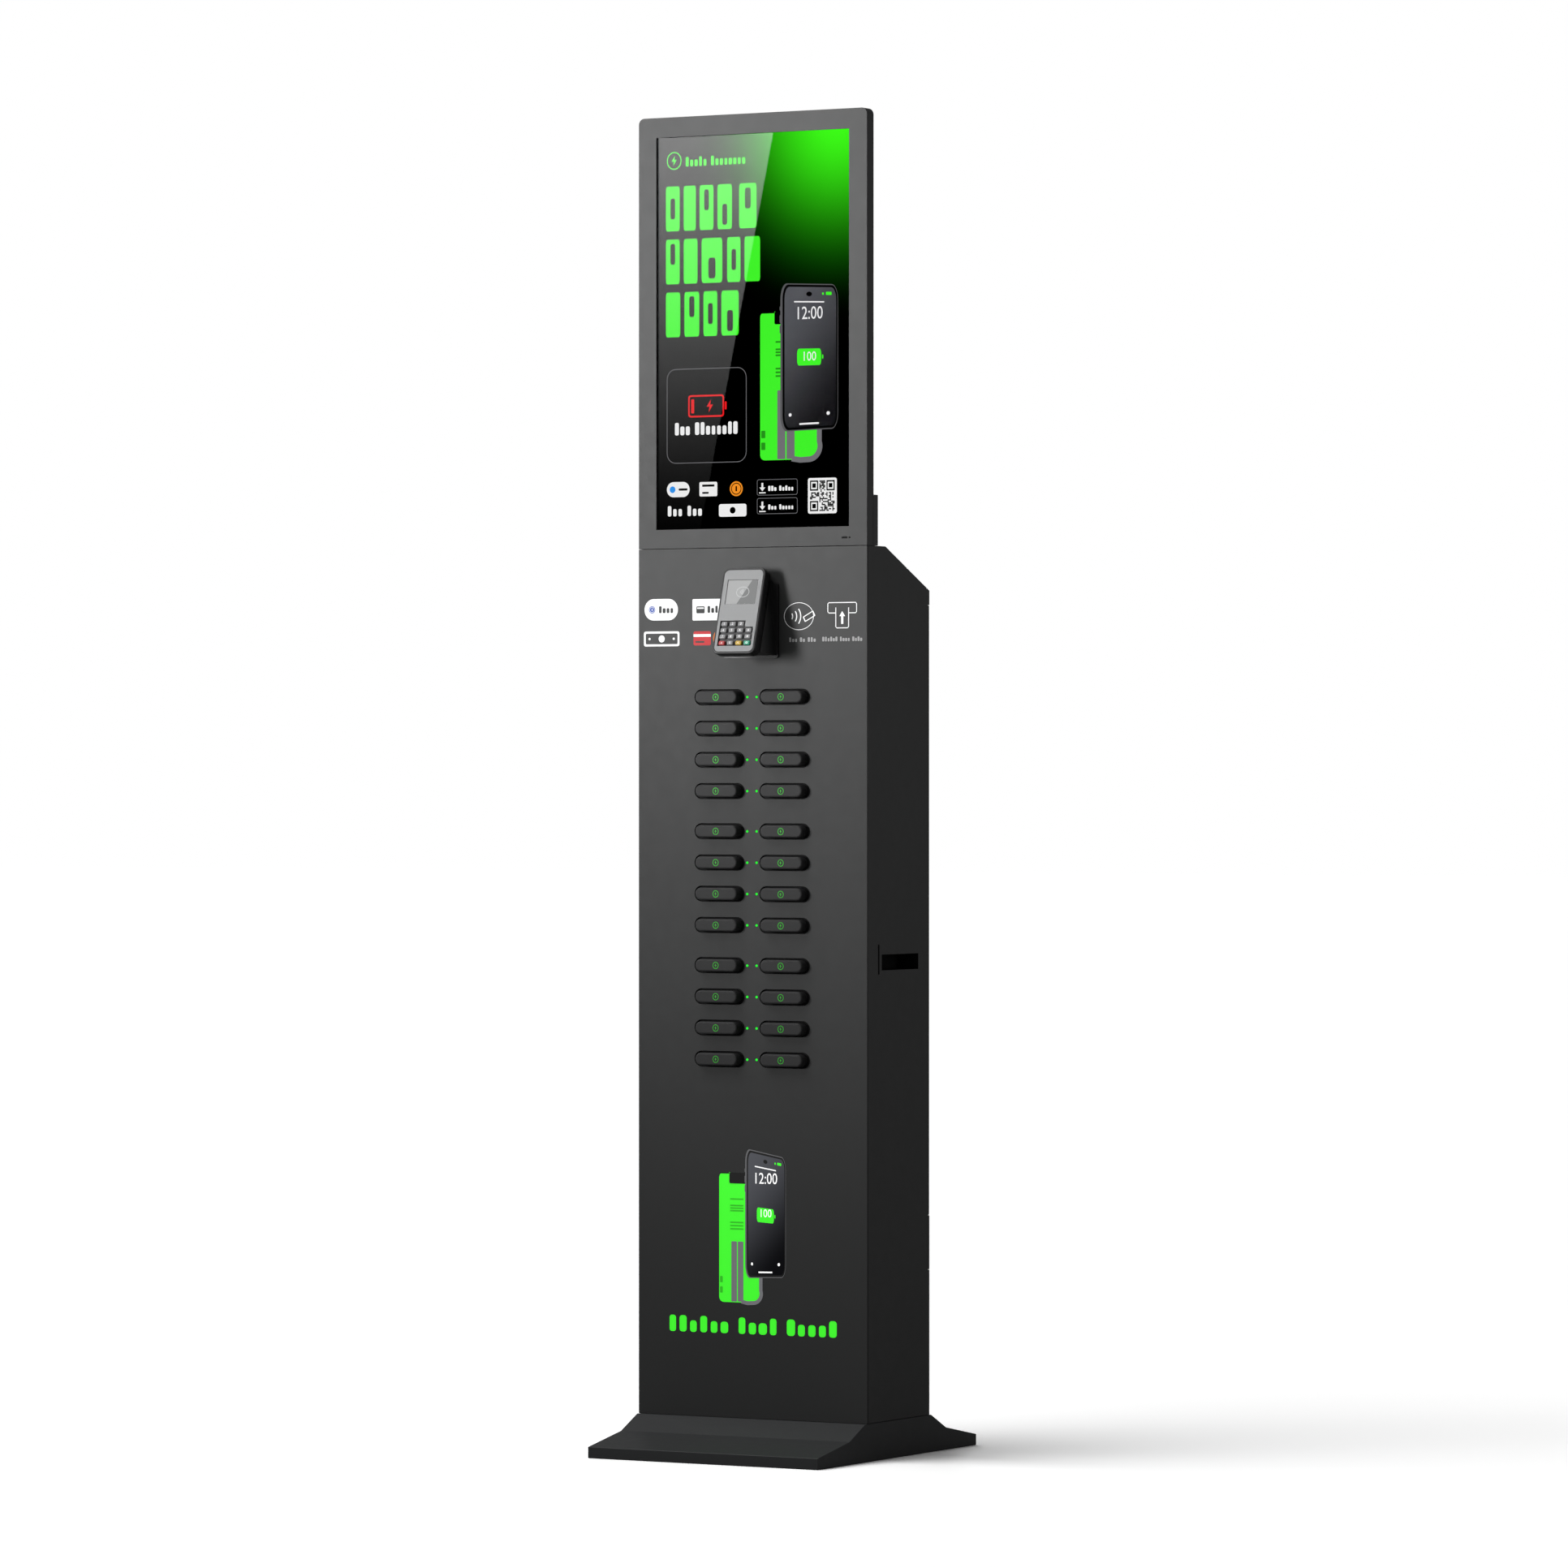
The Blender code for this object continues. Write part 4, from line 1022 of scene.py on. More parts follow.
def payment_row():
    """Two rows of small generic signs and a square code along the foot of the screen."""
    white = [rounded(35.7, 20.4, 10.2, (-117.6, 1298), 8)]
    white += [panel_box(-84.5, -56.6, 1288, 1307.4, 2)]
    white += caption((3, 3), -135.4, -79.4, 1262, 14, 8)
    white += [rounded(42.9, 17, 3, (-32.6, 1268.6), 4), oval(9, 9, (-32.6, 1268.6), 20)]
    white += [rounded(44.4, 47.6, 3, (106, 1285.5), 4)]
    marks = [rounded(14, 3, 1.4, (-110, 1298), 3), panel_box(-80, -61, 1301, 1304)]
    marks += [panel_box(-80, -70, 1291.5, 1294, 0.5)]
    head = [(-4.5, 0), (0, -5), (4.5, 0), (1.4, 0), (1.4, 6), (-1.4, 6), (-1.4, 0)]
    foot = [(-5, -8), (5, -8), (5, -6.4), (-5, -6.4)]
    badges = []
    arrows = []
    for middle in (1298.3, 1273.3):
        badges += [rounded(62.7, 21.5, 3, (36.5, middle), 4)]
        badges += [rounded(61.3, 20.1, 2.4, (36.5, middle), 4)]
        arrows += caption((3, 5), 22, 62, middle - 5, 7, round(middle))
        arrows += [moved(shape, 13.5, middle) for shape in (head, foot)]
    items = [
        (white, "lit_white", 1),
        (marks, "lit_black", 2),
        (square_code(87, 125, 1265, 1306), "lit_black", 2),
        ([oval(9, 9, (-126.5, 1298), 20)], "lit_blue", 2),
        (coin(20, (-27, 1297.4)), "lit_amber", 1),
        (badges, "lit_grey", 1),
        (arrows, "lit_white", 1),
    ]
    on_screen("screen_signs", items)


def square_code(left, right, bottom, top, cells=21):
    """Square made of small cells with a frame in three corners; it holds no message."""
    cell = (right - left) / cells
    tall = (top - bottom) / cells
    shapes = random.Random(7)
    outlines = []

    def frame_corner(column, row):
        return (column < 8 or column > cells - 9) and (row > cells - 9 or (row < 8 and column < 8))

    for row in range(cells):
        for column in range(cells):
            filled = shapes.random() < 0.52
            if filled and not frame_corner(column, row):
                x, z = left + column * cell, bottom + row * tall
                outlines.append(panel_box(x, x + 0.96 * cell, z, z + 0.96 * tall))
    for column, row in ((3.5, cells - 3.5), (cells - 3.5, cells - 3.5), (3.5, 3.5)):
        middle = (left + column * cell, bottom + row * tall)
        outlines += [rounded(n * cell, n * tall, 0.4, middle, 1) for n in (7, 5, 3)]
    return outlines


# Prints on the front panel -------------------------------------------------------------


def payment_signs():
    """Generic signs for the ways to pay, on the left of the terminal."""
    rims = [rounded(53.6, 30.3, 15.1, (-141.7, 1136.2), 10)]
    rims += [panel_box(-93.2, -33, 1120.4, 1150.5, 2)]
    plates = [rounded(52.4, 29.1, 14.5, (-141.7, 1136.2), 10)]
    plates += [panel_box(-92.6, -33.6, 1121, 1149.9, 1.6)]
    note = [rounded(56, 20.2, 3, (-141, 1096.8), 4), rounded(50, 14.4, 1.6, (-141, 1096.8), 3)]
    note += [oval(9.6, 9.6, (-141, 1096.8), 24)]
    note += [oval(3.4, 3.4, (x, 1096.8), 12) for x in (-160, -122)]
    dark = caption((4,), -146, -122, 1131.5, 9.5, 11)
    dark += [rounded(13, 9.4, 1.4, (-80, 1135.4), 3), rounded(10.6, 1.8, 0.4, (-80, 1137.6), 1)]
    dark += caption((4,), -70, -46, 1131, 9.5, 12)
    card = [rounded(27, 19, 2.4, (-77.5, 1097), 4), panel_box(-88, -74, 1091, 1093.4, 0.6)]
    items = [
        (rims, "print_black", 1),
        (plates, "print_white", 2),
        (note, "print_white", 1),
        (dark, "print_black", 3),
        (coin(10, (-156, 1136.2)), "print_blue", 3),
        (card, "print_red", 1),
        ([panel_box(-91, -64, 1099, 1102.6)], "print_white", 2),
        (coin(24, (-48.5, 1097)), "print_amber", 1),
    ]
    on_panel("pay_signs_left", items)


def card_signs():
    """Line drawings on the right of the terminal: a card held near, a card put in."""
    waves = [
        stroke(arc(6 + 5 * index, -38, 38, (57 + 1.2 * index, 1125), 10), 1.5)
        for index in range(3)
    ]
    card = [
        soft([(82, 1117), (98, 1125.5), (94.4, 1132.6), (78.4, 1124)], 1.2, 3),
        soft([(82.8, 1118.8), (96, 1125.8), (93.6, 1130.8), (80.4, 1123.6)], 0.6, 3),
    ]
    words = caption((3, 2, 3), 57, 99, 1090.6, 6.2, 21)
    words += caption((6, 4, 4), 108, 170, 1091, 6.2, 22)
    left = [(129.5, 1128.7), (118.6, 1128.7), (117, 1130.4), (117, 1141), (118.6, 1142.5)]
    right = [(278 - x, z) for x, z in reversed(left)]
    sheet_line = [(129.2, 1136), (129.2, 1110.4), (130.8, 1108.8), (147.2, 1108.8)]
    sheet_line += [(148.8, 1110.4), (148.8, 1136)]
    arrow = [(-1.7, -8.5), (1.7, -8.5), (1.7, 1.8), (4.4, 1.8), (0, 8.8), (-4.4, 1.8), (-1.7, 1.8)]
    items = [
        (ring(46, 37, 0.8, (72.5, 1125)), "print_white", 1),
        (waves, "print_white", 2),
        (card, "print_white", 2),
        ([stroke(left + right, 1.2)], "print_white", 1),
        ([stroke(sheet_line, 1.2)], "print_white", 2),
        ([moved(arrow, 139, 1122.5)], "print_white", 1),
        (words, "print_line", 1),
    ]
    on_panel("pay_signs_right", items)


def lower_print():
    """Phone, power bank and a green line of lettering blocks low on the panel."""
    inks = ["print_green", "print_green_low", "print_black", "print_grey", "print_frame"]
    inks += ["phone_print", "print_light"]
    place = (-10.4, 238.6, 62.8, 174.1)
    charging_phone("panel", place, 0.067, 40.5, inks, panel_layer, "decal_print")
    words = caption((6, 4, 5), -131.5, 132.8, 163.5, 22, 31)
    on_panel("panel_caption", [(words, "print_green", 1)])


# Payment terminal ----------------------------------------------------------------------


def tilted_rings(width, length, radius, profile):
    """Rings of a round-cornered body about its own axis, from (inset, depth), all in
    millimetres."""
    rings = []
    for inset, depth in profile:
        corner = max(min(radius - 0.3 * inset, length / 2 - inset - 0.01), 0.2)
        outline = rounded(width - 2 * inset, length - 2 * inset, corner, steps=7)
        rings.append([(x * MM, depth * MM, z * MM) for x, z in outline])
    return rings


def keypad_outline(margin=0.0):
    """L-shaped window: four rows of keys, the top one without its last key."""
    x, z = 2 * KEY_PITCH_X - margin, 2 * KEY_PITCH_Z - margin
    notch_x, notch_z = KEY_PITCH_X - margin, KEY_PITCH_Z - margin
    corners = [(-x, -z), (x, -z), (x, notch_z), (notch_x, notch_z), (notch_x, z), (-x, z)]
    return soft([(a, KEYPAD_Z + b) for a, b in corners], 1.2 * MM, 3)


def tilted(outlines, near, far, edge=0.0):
    """Sheet in the terminal's face, between two depths in millimetres."""
    return sheet(outlines, span(0, near, far), edge, TERMINAL)


def terminal_body():
    profile = [(1.5, 0.6), (0.8, 0.75), (0.3, 1.2), (0, 2.0), (0, 8.0), (0.3, 8.2), (0.3, 8.6)]
    profile += [(0, 8.8), (0, 13.4), (0.5, 15.2), (1.4, 16.9), (2.6, 18.0), (3.8, 18.5)]
    body = loft(tilted_rings(65.6, 120, 8.8, profile), TERMINAL)
    seat = rounded(FACE_WIDTH + 0.6 * MM, FACE_LENGTH + 0.6 * MM, 7.3 * MM, steps=8)
    tools = [
        tilted([seat], -5, 2.5),
        tilted([keypad_outline()], 1, 5.4),
        block(span(0, -27.5, 27.5), span(0, 10.4, 12), span(0, -70, -40), 0, TERMINAL),
        block(span(0, 30.3, 40), span(0, 12.2, 13.8), span(0, 6, 46), 0, TERMINAL),
    ]
    floor_line = soft([(x * 0.995, z) for x, z in keypad_outline(0.3 * MM)], 0.2 * MM, 1)
    parts = [(carved(body, tools), "terminal_black")]
    parts.append((tilted([floor_line], 2.6, 5.35), "keypad_well"))
    piece("terminal_case", parts, node="terminal_body", smooth=42)


def terminal_face():
    edge = rounded(FACE_WIDTH, FACE_LENGTH, 7 * MM, steps=10)
    plate = sheet([edge, keypad_outline()], (0, FACE_THICK), 0.4, TERMINAL)
    width, height, middle = TERMINAL_WINDOW
    sides, ends = (-width / 2, width / 2), (middle - height / 2, middle + height / 2)
    plate = carved(plate, [block(sides, span(0, -5, 1.7), ends, 0, TERMINAL)])
    piece("terminal_plate", [(plate, "terminal_grey")], node="terminal_faceplate", smooth=42)


def terminal_window():
    """Lit picture under glass: a sign in a ring over a pane with a painted reflection, a lighter
    slanting patch on the left that stands in for glare on the glass.
    """
    width, height, middle = TERMINAL_WINDOW
    edge = rounded(width - 0.8 * MM, height - 0.8 * MM, 0.6 * MM, (0, middle), 3)
    centre = (1.5, middle / MM)
    icon = ring(20, 15, 0.7, centre)
    for index in range(3):
        bow = arc(2.2 + 2 * index, -40, 40, (centre[0] - 5.5, centre[1]), 8)
        icon.append(stroke(bow, 0.8))
    x, z = width / 2 - 0.8 * MM, height / 2 - 0.8 * MM
    # painted reflection: a lighter slanting patch of the picture in place of glare on the glass
    light = [(-x, middle - z), (-0.25 * x, middle - z), (0.6 * x, middle + z), (-x, middle + z)]
    parts = [
        (tilted([edge], 0.2, 0.6, 0.1), "screen_glass"),
        (tilted([edge], 1.0, 1.45), "terminal_lcd"),
        (tilted([light], 0.96, 1.02), "terminal_painted_glare"),
        (sheet(icon, span(0, 0.88, 0.94), 0, TERMINAL, MM), "terminal_icon"),
    ]
    piece("terminal_display", parts, slot="terminal_glass", node="terminal_screen")


def key_sign(label):
    """Outlines of a key's sign in millimetres, or None where it is a figure."""
    if label == "menu":
        return [panel_box(-1.3, 1.3, z - 0.2, z + 0.2) for z in (-1, 0, 1)]
    if label == "alpha":
        return [stroke([(x, -1.3), (x, 1.3)], 0.45) for x in (-0.9, 0, 0.9)]
    if label == "cancel":
        arm = [(0.32, 0), (1.25, 0.93), (0.93, 1.25)]
        turns = ((1, 0), (0, 1), (-1, 0), (0, -1))
        return [[(a * c - b * s, a * s + b * c) for c, s in turns for a, b in arm]]
    if label == "clear":
        return [stroke([(1.0, -1.2), (-0.9, 0), (1.0, 1.2)], 0.5)]
    if label == "enter":
        return ring(2.8, 2.8, 0.5)
    return None


def keys():
    colours = {"cancel": "key_red", "clear": "key_yellow", "enter": "key_green"}
    profile = [(0, 3.8), (0, 1.0), (0.15, 0.45), (0.45, 0.02), (0.95, -0.3), (1.6, -0.46)]
    profile += [(2.3, -0.5)]
    depth = span(0, -0.6, -0.42)
    for label in KEYS:
        node = f"key_{label}"
        low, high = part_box(node)
        centre = TERMINAL.inverted() @ ((low + high) / 2)
        place = TERMINAL @ Matrix.Translation((centre.x, 0, centre.z))
        cap = loft(tilted_rings(9.9, 6.1, 1.8, profile), place)
        sign = key_sign(label)
        if sign:
            mark = sheet(sign, depth, 0, place, MM)
        else:
            mark = figures(label, 3.3 * MM, (0, 0), depth, base=place)
        parts = [(cap, colours.get(label, "key_grey")), (mark, "key_print")]
        piece(f"cap_{label}", parts, node, node=node, smooth=60)


# Rear of the kiosk ---------------------------------------------------------------------


def display_cover():
    outlines = [head_outline(), panel_box(-45, 45, 1232, 1262, 4)]
    for x in (-60, 60):
        outlines += [rounded(70, 3, 1.5, (x, 1560 + 12 * index), 4) for index in range(10)]
    mesh = sheet(outlines, (COVER_LOW.y, COVER_HIGH.y), 0.4, unit=MM)
    piece("head_cover", [(mesh, "powder_coat")], node="display_rear_cover")
    rear = COVER_HIGH.y
    (left, right), top = (COVER_LOW.x + 9 * MM, COVER_HIGH.x - 9 * MM), COVER_HIGH.z - 9 * MM
    heights = [(1320 + 150 * index) * MM for index in range(4)]
    places = [(x, rear, z) for x in (left, right) for z in heights]
    places += [(x, rear, top) for x in (-90 * MM, 0, 90 * MM)]
    places += [(x, rear, z) for x in (-50 * MM, 50 * MM) for z in (1400 * MM, 1500 * MM)]
    screws("head_screws", places, 2.8)


def rear_door():
    """Service door and its cam lock, whose keyway turns with it."""
    cad_piece("service_door", "rear_door", "powder_coat", 0.35, "rear_door")
    low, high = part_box("door_lock")
    x, z = 140 * MM, 731 * MM  # the lock's axis
    rear = high.y / MM
    barrel = [(6.5, 70.3), (6.8, 71), (6.8, 85.4), (10.3, 85.4), (10.3, 86.3)]
    barrel += [(9.6, rear), (5.2, rear), (4.9, rear - 0.6)]
    cam = [rounded(12 * MM, 40 * MM, 5.5 * MM, (x, z + 9 * MM), 8)]
    parts = [(turned(barrel, (x, 0, z), 36), "lock_chrome")]
    parts.append((sheet(cam, span(low.y, 0, 2.4), 0.3), "fastener_metal"))
    piece("cam_lock", parts, "door_lock", node="door_lock")
    profile = [(4.6, -0.5), (4.6, 0.12), (4.4, 0.3), (0.4, 0.3)]
    plug = turned(profile, (x, high.y, z), 28)
    # painted shade: a black block stands in for the dark inside the key slot
    keyway_shade = block(span(x, -0.6, 0.6), span(high.y, -0.2, 0.36), span(z, -2.8, 2.8), 0.1)
    parts = [(plug, "contact_gold"), (keyway_shade, "screen_border")]
    piece("lock_keyway", parts, "door_lock", "lock_chrome")


def mains_inlet():
    """Plastic shroud and three blades of the mains socket, and the screws beside it."""
    x, z = 43, 283.5  # middle of the socket, in millimetres
    rear = INLET_HIGH.y
    outer = [(-17, -12.5), (17, -12.5), (17, 8), (12, 12.5), (-12, 12.5), (-17, 8)]
    rim = [moved(outline, x, z) for outline in (soft(outer, 2, 3), rounded(25, 17, 1.6, steps=3))]
    floor_line = [rounded(24.6, 16.6, 1.4, (x, z), 3)]
    parts = [(sheet(rim, span(rear, 0, 1.3), 0.3, unit=MM), "switch_black")]
    parts.append((sheet(floor_line, (66.1 * MM, 66.8 * MM), unit=MM), "switch_black"))
    for blade_x, blade_z in ((x - 7, z - 2), (x + 7, z - 2), (x, z + 2)):
        sides, ends = span(blade_x * MM, -0.9, 0.9), span(blade_z * MM, -2, 2)
        parts.append((block(sides, (66.5 * MM, 80 * MM), ends, 0.35), "lock_chrome"))
    piece("mains_socket", parts)
    places = [(place * MM, rear, z * MM) for place in (x - 21, x + 21)]
    sides = (INLET_LOW.x + 8 * MM, INLET_HIGH.x - 8 * MM)
    ends = (INLET_LOW.z + 8 * MM, INLET_HIGH.z - 8 * MM)
    places += [(side, rear, end) for side in sides for end in ends]
    screws("inlet_screws", places, 2.6)


def power_switch():
    cad_piece("rocker", "rocker_switch", "switch_black", 0.4, "rocker_switch")
    low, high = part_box("rocker_switch")
    centre = ((low.x + high.x) / 2, (low.z + high.z) / 2)
    width, height = high.x - low.x + 1.2 * MM, high.z - low.z + 1.2 * MM
    rim = [rounded(width + 3 * MM, height + 3 * MM, 1.6 * MM, centre, 3)]
    rim.append(rounded(width, height, 0.8 * MM, centre, 2))
    mesh = sheet(rim, span(INLET_HIGH.y, 0, 1.0), 0.25)
    piece("switch_frame", [(mesh, "switch_black")])


# Inside the cabinet --------------------------------------------------------------------


def module_boards():
    """Circuit board with eight sockets on the back of each charging module."""
    for index, node in enumerate(MODULES):
        low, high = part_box(node)
        board = span(high.y, 0.2, 1.8)
        sides, ends = (low.x + 4 * MM, high.x - 4 * MM), (low.z + 5 * MM, high.z - 5 * MM)
        parts = [(sheet([panel_box(*sides, *ends, 3 * MM)], board, 0.1), "circuit_board")]
        rows = ROW_HEIGHTS[4 * index : 4 * index + 4]
        for height in rows:
            for side in (-1, 1):
                parts += board_station(side * COLUMN_X, board[1], height)
            chip = block(span(0, -9, 9), span(board[1], 0, 2.2), span(height, -5, 5), 0.3)
            parts.append((chip, "chip_plastic"))
        piece(f"module_board_{index + 1}", parts)


def board_station(x, y, z):
    """Socket, driver chip and coil of one bay."""
    coil = [(3.6, -0.1), (3.6, 3.2), (3.2, 3.7), (1.2, 3.7), (1.1, 3.2)]
    return [
        (block(span(x, -11, 3), span(y, 0, 5.5), span(z, -4, 4), 0.4), "connector_plastic"),
        (block(span(x, 8, 14), span(y, 0, 1.4), span(z, -3, 3), 0.2), "chip_plastic"),
        (turned(coil, (x + 23 * MM, y, z), 16), "fastener_metal"),
    ]


def control_parts():
    """Parts on the rear of the controller board."""
    low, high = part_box("controller_board")
    parts = []
    for x, z, width, height, depth, key in (
        (-60, 25, 34, 30, 3.0, "supply_metal"),
        (-12, 20, 22, 22, 1.8, "chip_plastic"),
        (20, 34, 14, 14, 1.6, "chip_plastic"),
        (52, 24, 30, 18, 2.4, "supply_metal"),
        (-62, -20, 24, 12, 1.6, "chip_plastic"),
        (10, -22, 16, 10, 1.4, "chip_plastic"),
    ):
        sides = span((low.x + high.x) / 2, x - width / 2, x + width / 2)
        ends = span((low.z + high.z) / 2, z - height / 2, z + height / 2)
        parts.append((block(sides, span(high.y, 0, depth), ends, 0.3), key))
    for x in range(18, 169, 30):
        plug = block(span(low.x, x - 8, x + 8), span(high.y, 0, 9), span(low.z, 4, 12), 0.5)
        parts.append((plug, "connector_plastic"))
    for x in range(40, 77, 12):
        place = (low.x + x * MM, high.y, low.z + 34 * MM)
        can = turned([(4, -0.1), (4, 10.4), (3.6, 11), (1, 11)], place, 20)
        parts.append((can, "supply_metal"))
    piece("controller_parts", parts, slot="circuit_board")


def supply_parts():
    """Perforated lid and screw terminals of the power supply."""
    low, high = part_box("power_supply")
    middle = (low.y + high.y) / 2
    outlines = [
        panel_box(low.x + 2 * MM, high.x - 2 * MM, -high.y + 2 * MM, -low.y - 2 * MM, 2 * MM)
    ]
    for i in range(20):
        for j in range(9):
            centre = (low.x + (20 + 9 * i) * MM, -middle + (j - 4) * 9 * MM)
            outlines.append(oval(5 * MM, 5 * MM, centre, 10))
    # drawn lying flat: an outline's depth is its height here, and its height runs to -Y
    parts = [(sheet(outlines, span(high.z, 0.2, 1.4), 0.2, FACING_FRONT), "supply_metal")]
    for index in range(7):
        y = low.y + (12 + 12.6 * index) * MM
        terminal = block(span(high.x, 0, 11), span(y, -5, 5), span(low.z, 14, 30), 0.5)
        place = (high.x + 11 * MM, y, low.z + 22 * MM)
        stud = turned([(2.6, 0), (2.6, 1.0), (2.2, 1.4), (0.8, 1.4)], place, 12, "X")
        parts += [(terminal, "switch_black"), (stud, "lock_chrome")]
    piece("supply_parts", parts)


def wiring():
    """Cable runs from the supply to the modules, the controller and the mains socket."""
    low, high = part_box("power_supply")
    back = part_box(MODULES[0])[1].y
    parts = []

    def cable(points, radius, key):
        parts.append((tube(points, radius), key))

    for index, key in enumerate(("cable_black", "cable_red", "cable_black", "cable_blue")):
        start = (high.x + 12 * MM, low.y + (20 + 14 * index) * MM, 80 * MM)
        cable(riser(start, index, back), 1.9, key)
    for node in MODULES:
        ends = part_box(node)
        z = (ends[0].z + ends[1].z) / 2
        branch = ((-112, 8, 20), (-106, 10, 4), (-90, 9, 0), (-76, 6, 0))
        points = [(x * MM, back + y * MM, z + rise * MM) for x, y, rise in branch]
        cable(points, 1.9, "cable_black")
        plug = block(span(0, -82, -68), span(back, 1.8, 8.5), span(z, -9, 9), 0.5)
        parts.append((plug, "connector_plastic"))
    for index, key in enumerate(("cable_black", "cable_blue", "cable_red")):
        x = (36 + 7 * index) * MM
        points = [
            (x, 58 * MM, 280 * MM),
            (x, 48 * MM, 262 * MM),
            (95 * MM, 40 * MM, 200 * MM),
            (high.x + 30 * MM, high.y - 4 * MM, 130 * MM),
            (high.x + 12 * MM, high.y - (10 + 12 * index) * MM, 78 * MM),
        ]
        cable(points, 1.6, key)
    for height in (250, 400, 550, 730, 900):
        tie = block(span(0, -131, -108), span(back, 3, 11), span(0, height, height + 4), 0.8)
        parts.append((tie, "switch_black"))
    piece("wiring", parts)


def riser(start, index, back):
    """Points of one cable, from the supply up behind the modules to the controller."""
    board_low, board_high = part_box("controller_board")
    x = (-112 - 5 * index) * MM
    plug = board_low.x + (18 + 30 * index) * MM
    column = [
        (x, back + y * MM, z * MM)
        for y, z in ((6, 190 + 8 * index), (8, 420), (6, 700), (4, 980))
    ]
    return [
        start,
        (start[0] + 10 * MM, start[1], 84 * MM),
        (60 * MM, back + 4 * MM, (150 + 6 * index) * MM),
        *column,
        (x * 0.9, back - 20 * MM, 1060 * MM),
        (plug, board_high.y + 30 * MM, 1058 * MM),
        (plug, board_high.y + 10 * MM, board_low.z + 8 * MM),
    ]


def carried_over():
    """CAD shapes that stay as they are, with their final materials."""
    finishes = {node: "module_plastic" for node in MODULES}
    finishes["lcd_panel"] = "lcd_metal"
    finishes["power_supply"] = "supply_metal"
    finishes["controller_board"] = "circuit_board"
    for node, key in finishes.items():
        mesh = frame["nodes"][node].data
        mesh.materials.clear()
        mesh.materials.append(MATERIALS[key])


# Studio --------------------------------------------------------------------------------

CAMERA_PLACE = Vector((5.048, -8.754, 0.897))


def camera():
    data = bpy.data.cameras.new("camera")
    data.lens = 171.85
    data.sensor_width = 36
    data.shift_y = 0.0019
    data.clip_end = 100
    obj = add_object("camera", data)
    obj.location = CAMERA_PLACE
    obj.rotation_euler = (QUARTER, 0, math.radians(29.97))
    bpy.context.scene.camera = obj


def seen_by_camera(nodes):
    """Socket that is 1 for what the camera sees itself and 0 for light and mirrors."""
    return nodes.add("ShaderNodeLightPath", {}).outputs["Is Camera Ray"]


def world():
    """White to the camera, dim grey as a source of light."""
    bpy.context.scene.world = bpy.data.worlds.new("studio")
    nodes = Nodes(bpy.context.scene.world)
    strength = nodes.ramp(seen_by_camera(nodes), 0.15, 1.0, 0.0, 1.0)
    nodes.put("Background", {"Color": (1, 1, 1, 1), "Strength": strength})


def stage_piece(name, points, shader, nodes):
    """Flat piece of the studio, which is left out of the kiosk."""
    bm = bmesh.new()
    bm.faces.new([bm.verts.new(point) for point in points])
    mesh = made(bm, name)
    nodes.put("Material Output", {"Surface": shader.outputs[0]})
    mesh.materials.append(MATERIALS[name])
    obj = add_object(name, mesh)
    return obj


def floor():
    """Large pale floor. The camera sees it brightly lit; it throws little light back."""
    nodes = material("floor")
    choices = {0: seen_by_camera(nodes)}
    for socket, level in ((1, 0.3), (2, 1.25)):
        diffuse = nodes.add("ShaderNodeBsdfDiffuse", {"Color": (level, level, level, 1)})
        choices[socket] = diffuse.outputs[0]
    corners = [(60 * x, 60 * y, -0.3 * MM) for x, y in ((-1, -1), (1, -1), (1, 1), (-1, 1))]
    stage_piece("floor", corners, nodes.add("ShaderNodeMixShader", choices), nodes)


def lamp(name, kind, place, target, energy, **settings):
    data = bpy.data.lights.new(name, kind)
    data.energy = energy
    for key, value in settings.items():
        setattr(data, key, value)
    obj = add_object(name, data)
    obj.location = place
    direction = Vector(target) - Vector(place)
    obj.rotation_euler = direction.to_track_quat("-Z", "Y").to_euler()
    return obj


def spot(name, place, target, energy, cone, blend=1.0, softness=0.3):
    settings = {"spot_size": math.radians(cone), "spot_blend": blend}
    return lamp(name, "SPOT", place, target, energy, shadow_soft_size=softness, **settings)


def lights():
    """Soft spots down the front, brightest at the top, and down the right side, two spots
    from behind, and a broad soft source from above at the front left."""
    for height, energy in ((1.0, 109), (1.4, 187), (1.8, 171), (2.2, 282)):
        target = (0.12, FRONT, height)
        spot(f"front_{height}", (-1.7, -2.0, height), target, energy, 40)
    for height, energy in ((0.5, 12.6), (1.3, 31), (1.9, 14)):
        target = (HALF, 0, height + 0.1)
        spot(f"side_{height}", (2.6, 0.3, height), target, energy, 52)
    rear = spot("rear", (-2.0, 2.6, 1.3), (0, 0, 1.1), 300, 50, softness=0.4)
    rear.visible_glossy = False
    spot("rear_high", (-0.6, 3.0, 1.35), (0, 0.2, 1.3), 330, 30, 0.6)
    turn, rise = math.radians(220), math.radians(60)
    flat = math.cos(rise)
    source = (flat * math.cos(turn), flat * math.sin(turn), math.sin(rise))
    lamp("window", "SUN", Vector(source) * 10, (0, 0, 0), 2.4, angle=math.radians(50))


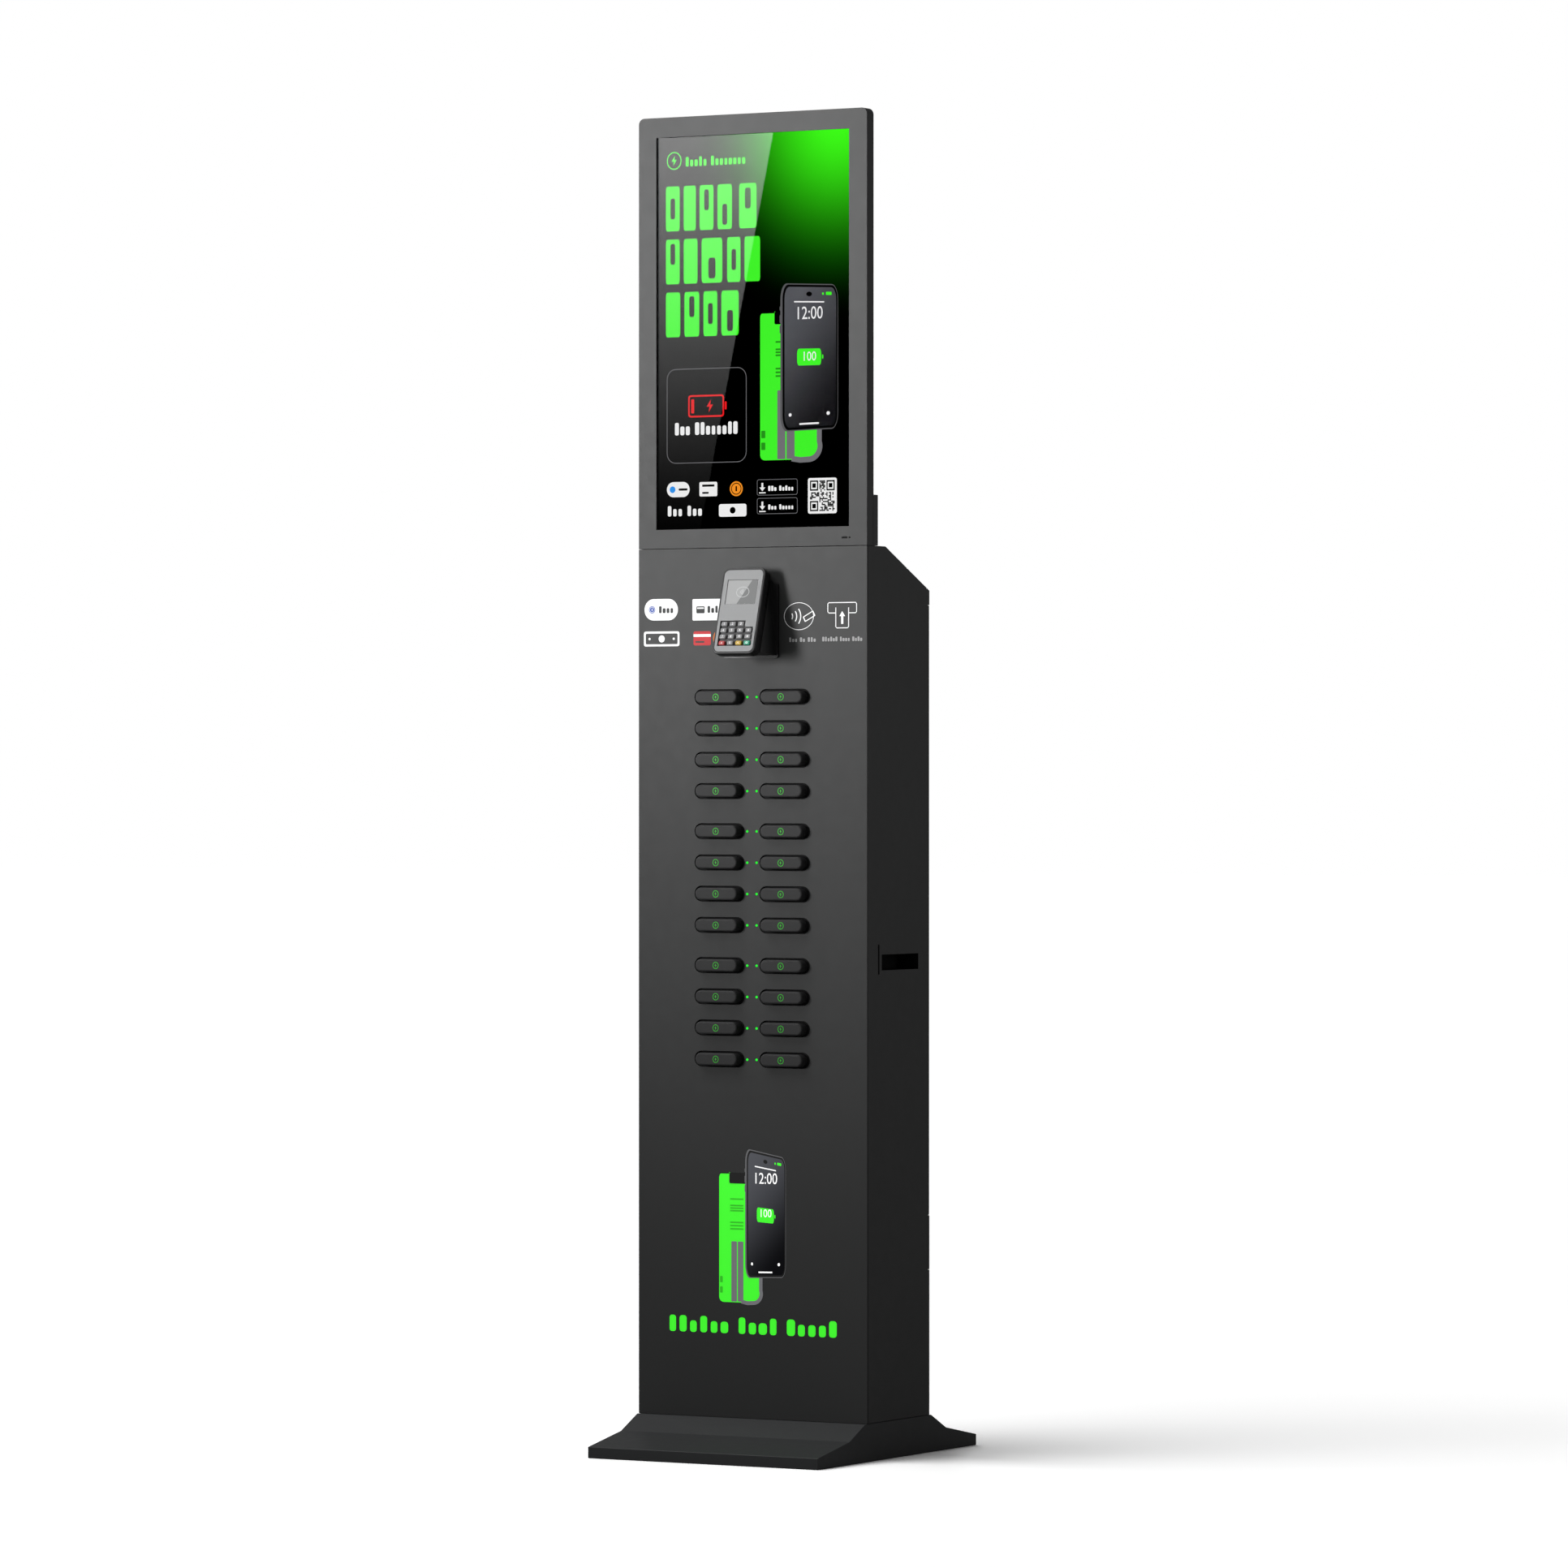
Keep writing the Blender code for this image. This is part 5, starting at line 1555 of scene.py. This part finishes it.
def reflector(name, area, reach, strength, rise=None):
    """Card that only mirrors see, placed where the given area of the display, as (x, z)
    points, reflects the camera's view of it. A rise (low, high) fades its light out
    downwards."""
    glass = GLASS_LOW.y
    image = Vector((CAMERA_PLACE.x, 2 * glass - CAMERA_PLACE.y, CAMERA_PLACE.z))
    corners = [Vector((x, glass, z)) for x, z in area]
    nodes = material(name)
    if rise:
        height = nodes.add("ShaderNodeSeparateXYZ", {0: nodes.place()}).outputs["Z"]
        share = nodes.math("POWER", nodes.ramp(height, 0, 1, *rise), 2.0)
        strength = nodes.math("MULTIPLY", share, strength)
    glow = nodes.add("ShaderNodeEmission", {"Strength": strength})
    points = [corner + reach * (corner - image) for corner in corners]
    card = stage_piece(name, points, glow, nodes)
    card.visible_camera = False
    card.visible_diffuse = False
    card.visible_shadow = False


def reflections():
    """A slanting pale window mirrored in the display, before a black flag."""
    left, right, bottom, top = (value * MM for value in WINDOW)
    margin = 0.01
    left, right, bottom, top = left - margin, right + margin, bottom - margin, top + margin
    flag = [(left, bottom), (right, bottom), (right, top), (left, top)]
    reflector("black_flag", flag, 0.42, 0.0)
    pane = [(left, bottom), (-84.5 * MM, bottom), (33 * MM, top), (left, top)]
    reach = 0.346
    fading = [z + reach * (z - CAMERA_PLACE.z) for z in (1205 * MM, 1773 * MM)]
    reflector("pale_window", pane, reach, 3.35, fading)


def show():
    camera()
    world()
    floor()
    lights()
    reflections()
    bpy.context.scene.view_settings.view_transform = "Standard"


def build():
    body_materials()
    inner_materials()
    picture_materials()
    carried_over()
    front_panel()
    sheet_metal_parts()
    slit_painted_shade()
    head_surround()
    status_lights()
    power_banks()
    display_glass()
    screen_pictures()
    payment_signs()
    card_signs()
    lower_print()
    cad_piece("terminal_stand", "terminal_bracket", "terminal_black", 0.8, segments=3)
    terminal_body()
    terminal_face()
    terminal_window()
    keys()
    display_cover()
    rear_door()
    mains_inlet()
    power_switch()
    module_boards()
    control_parts()
    supply_parts()
    wiring()


build()
show()
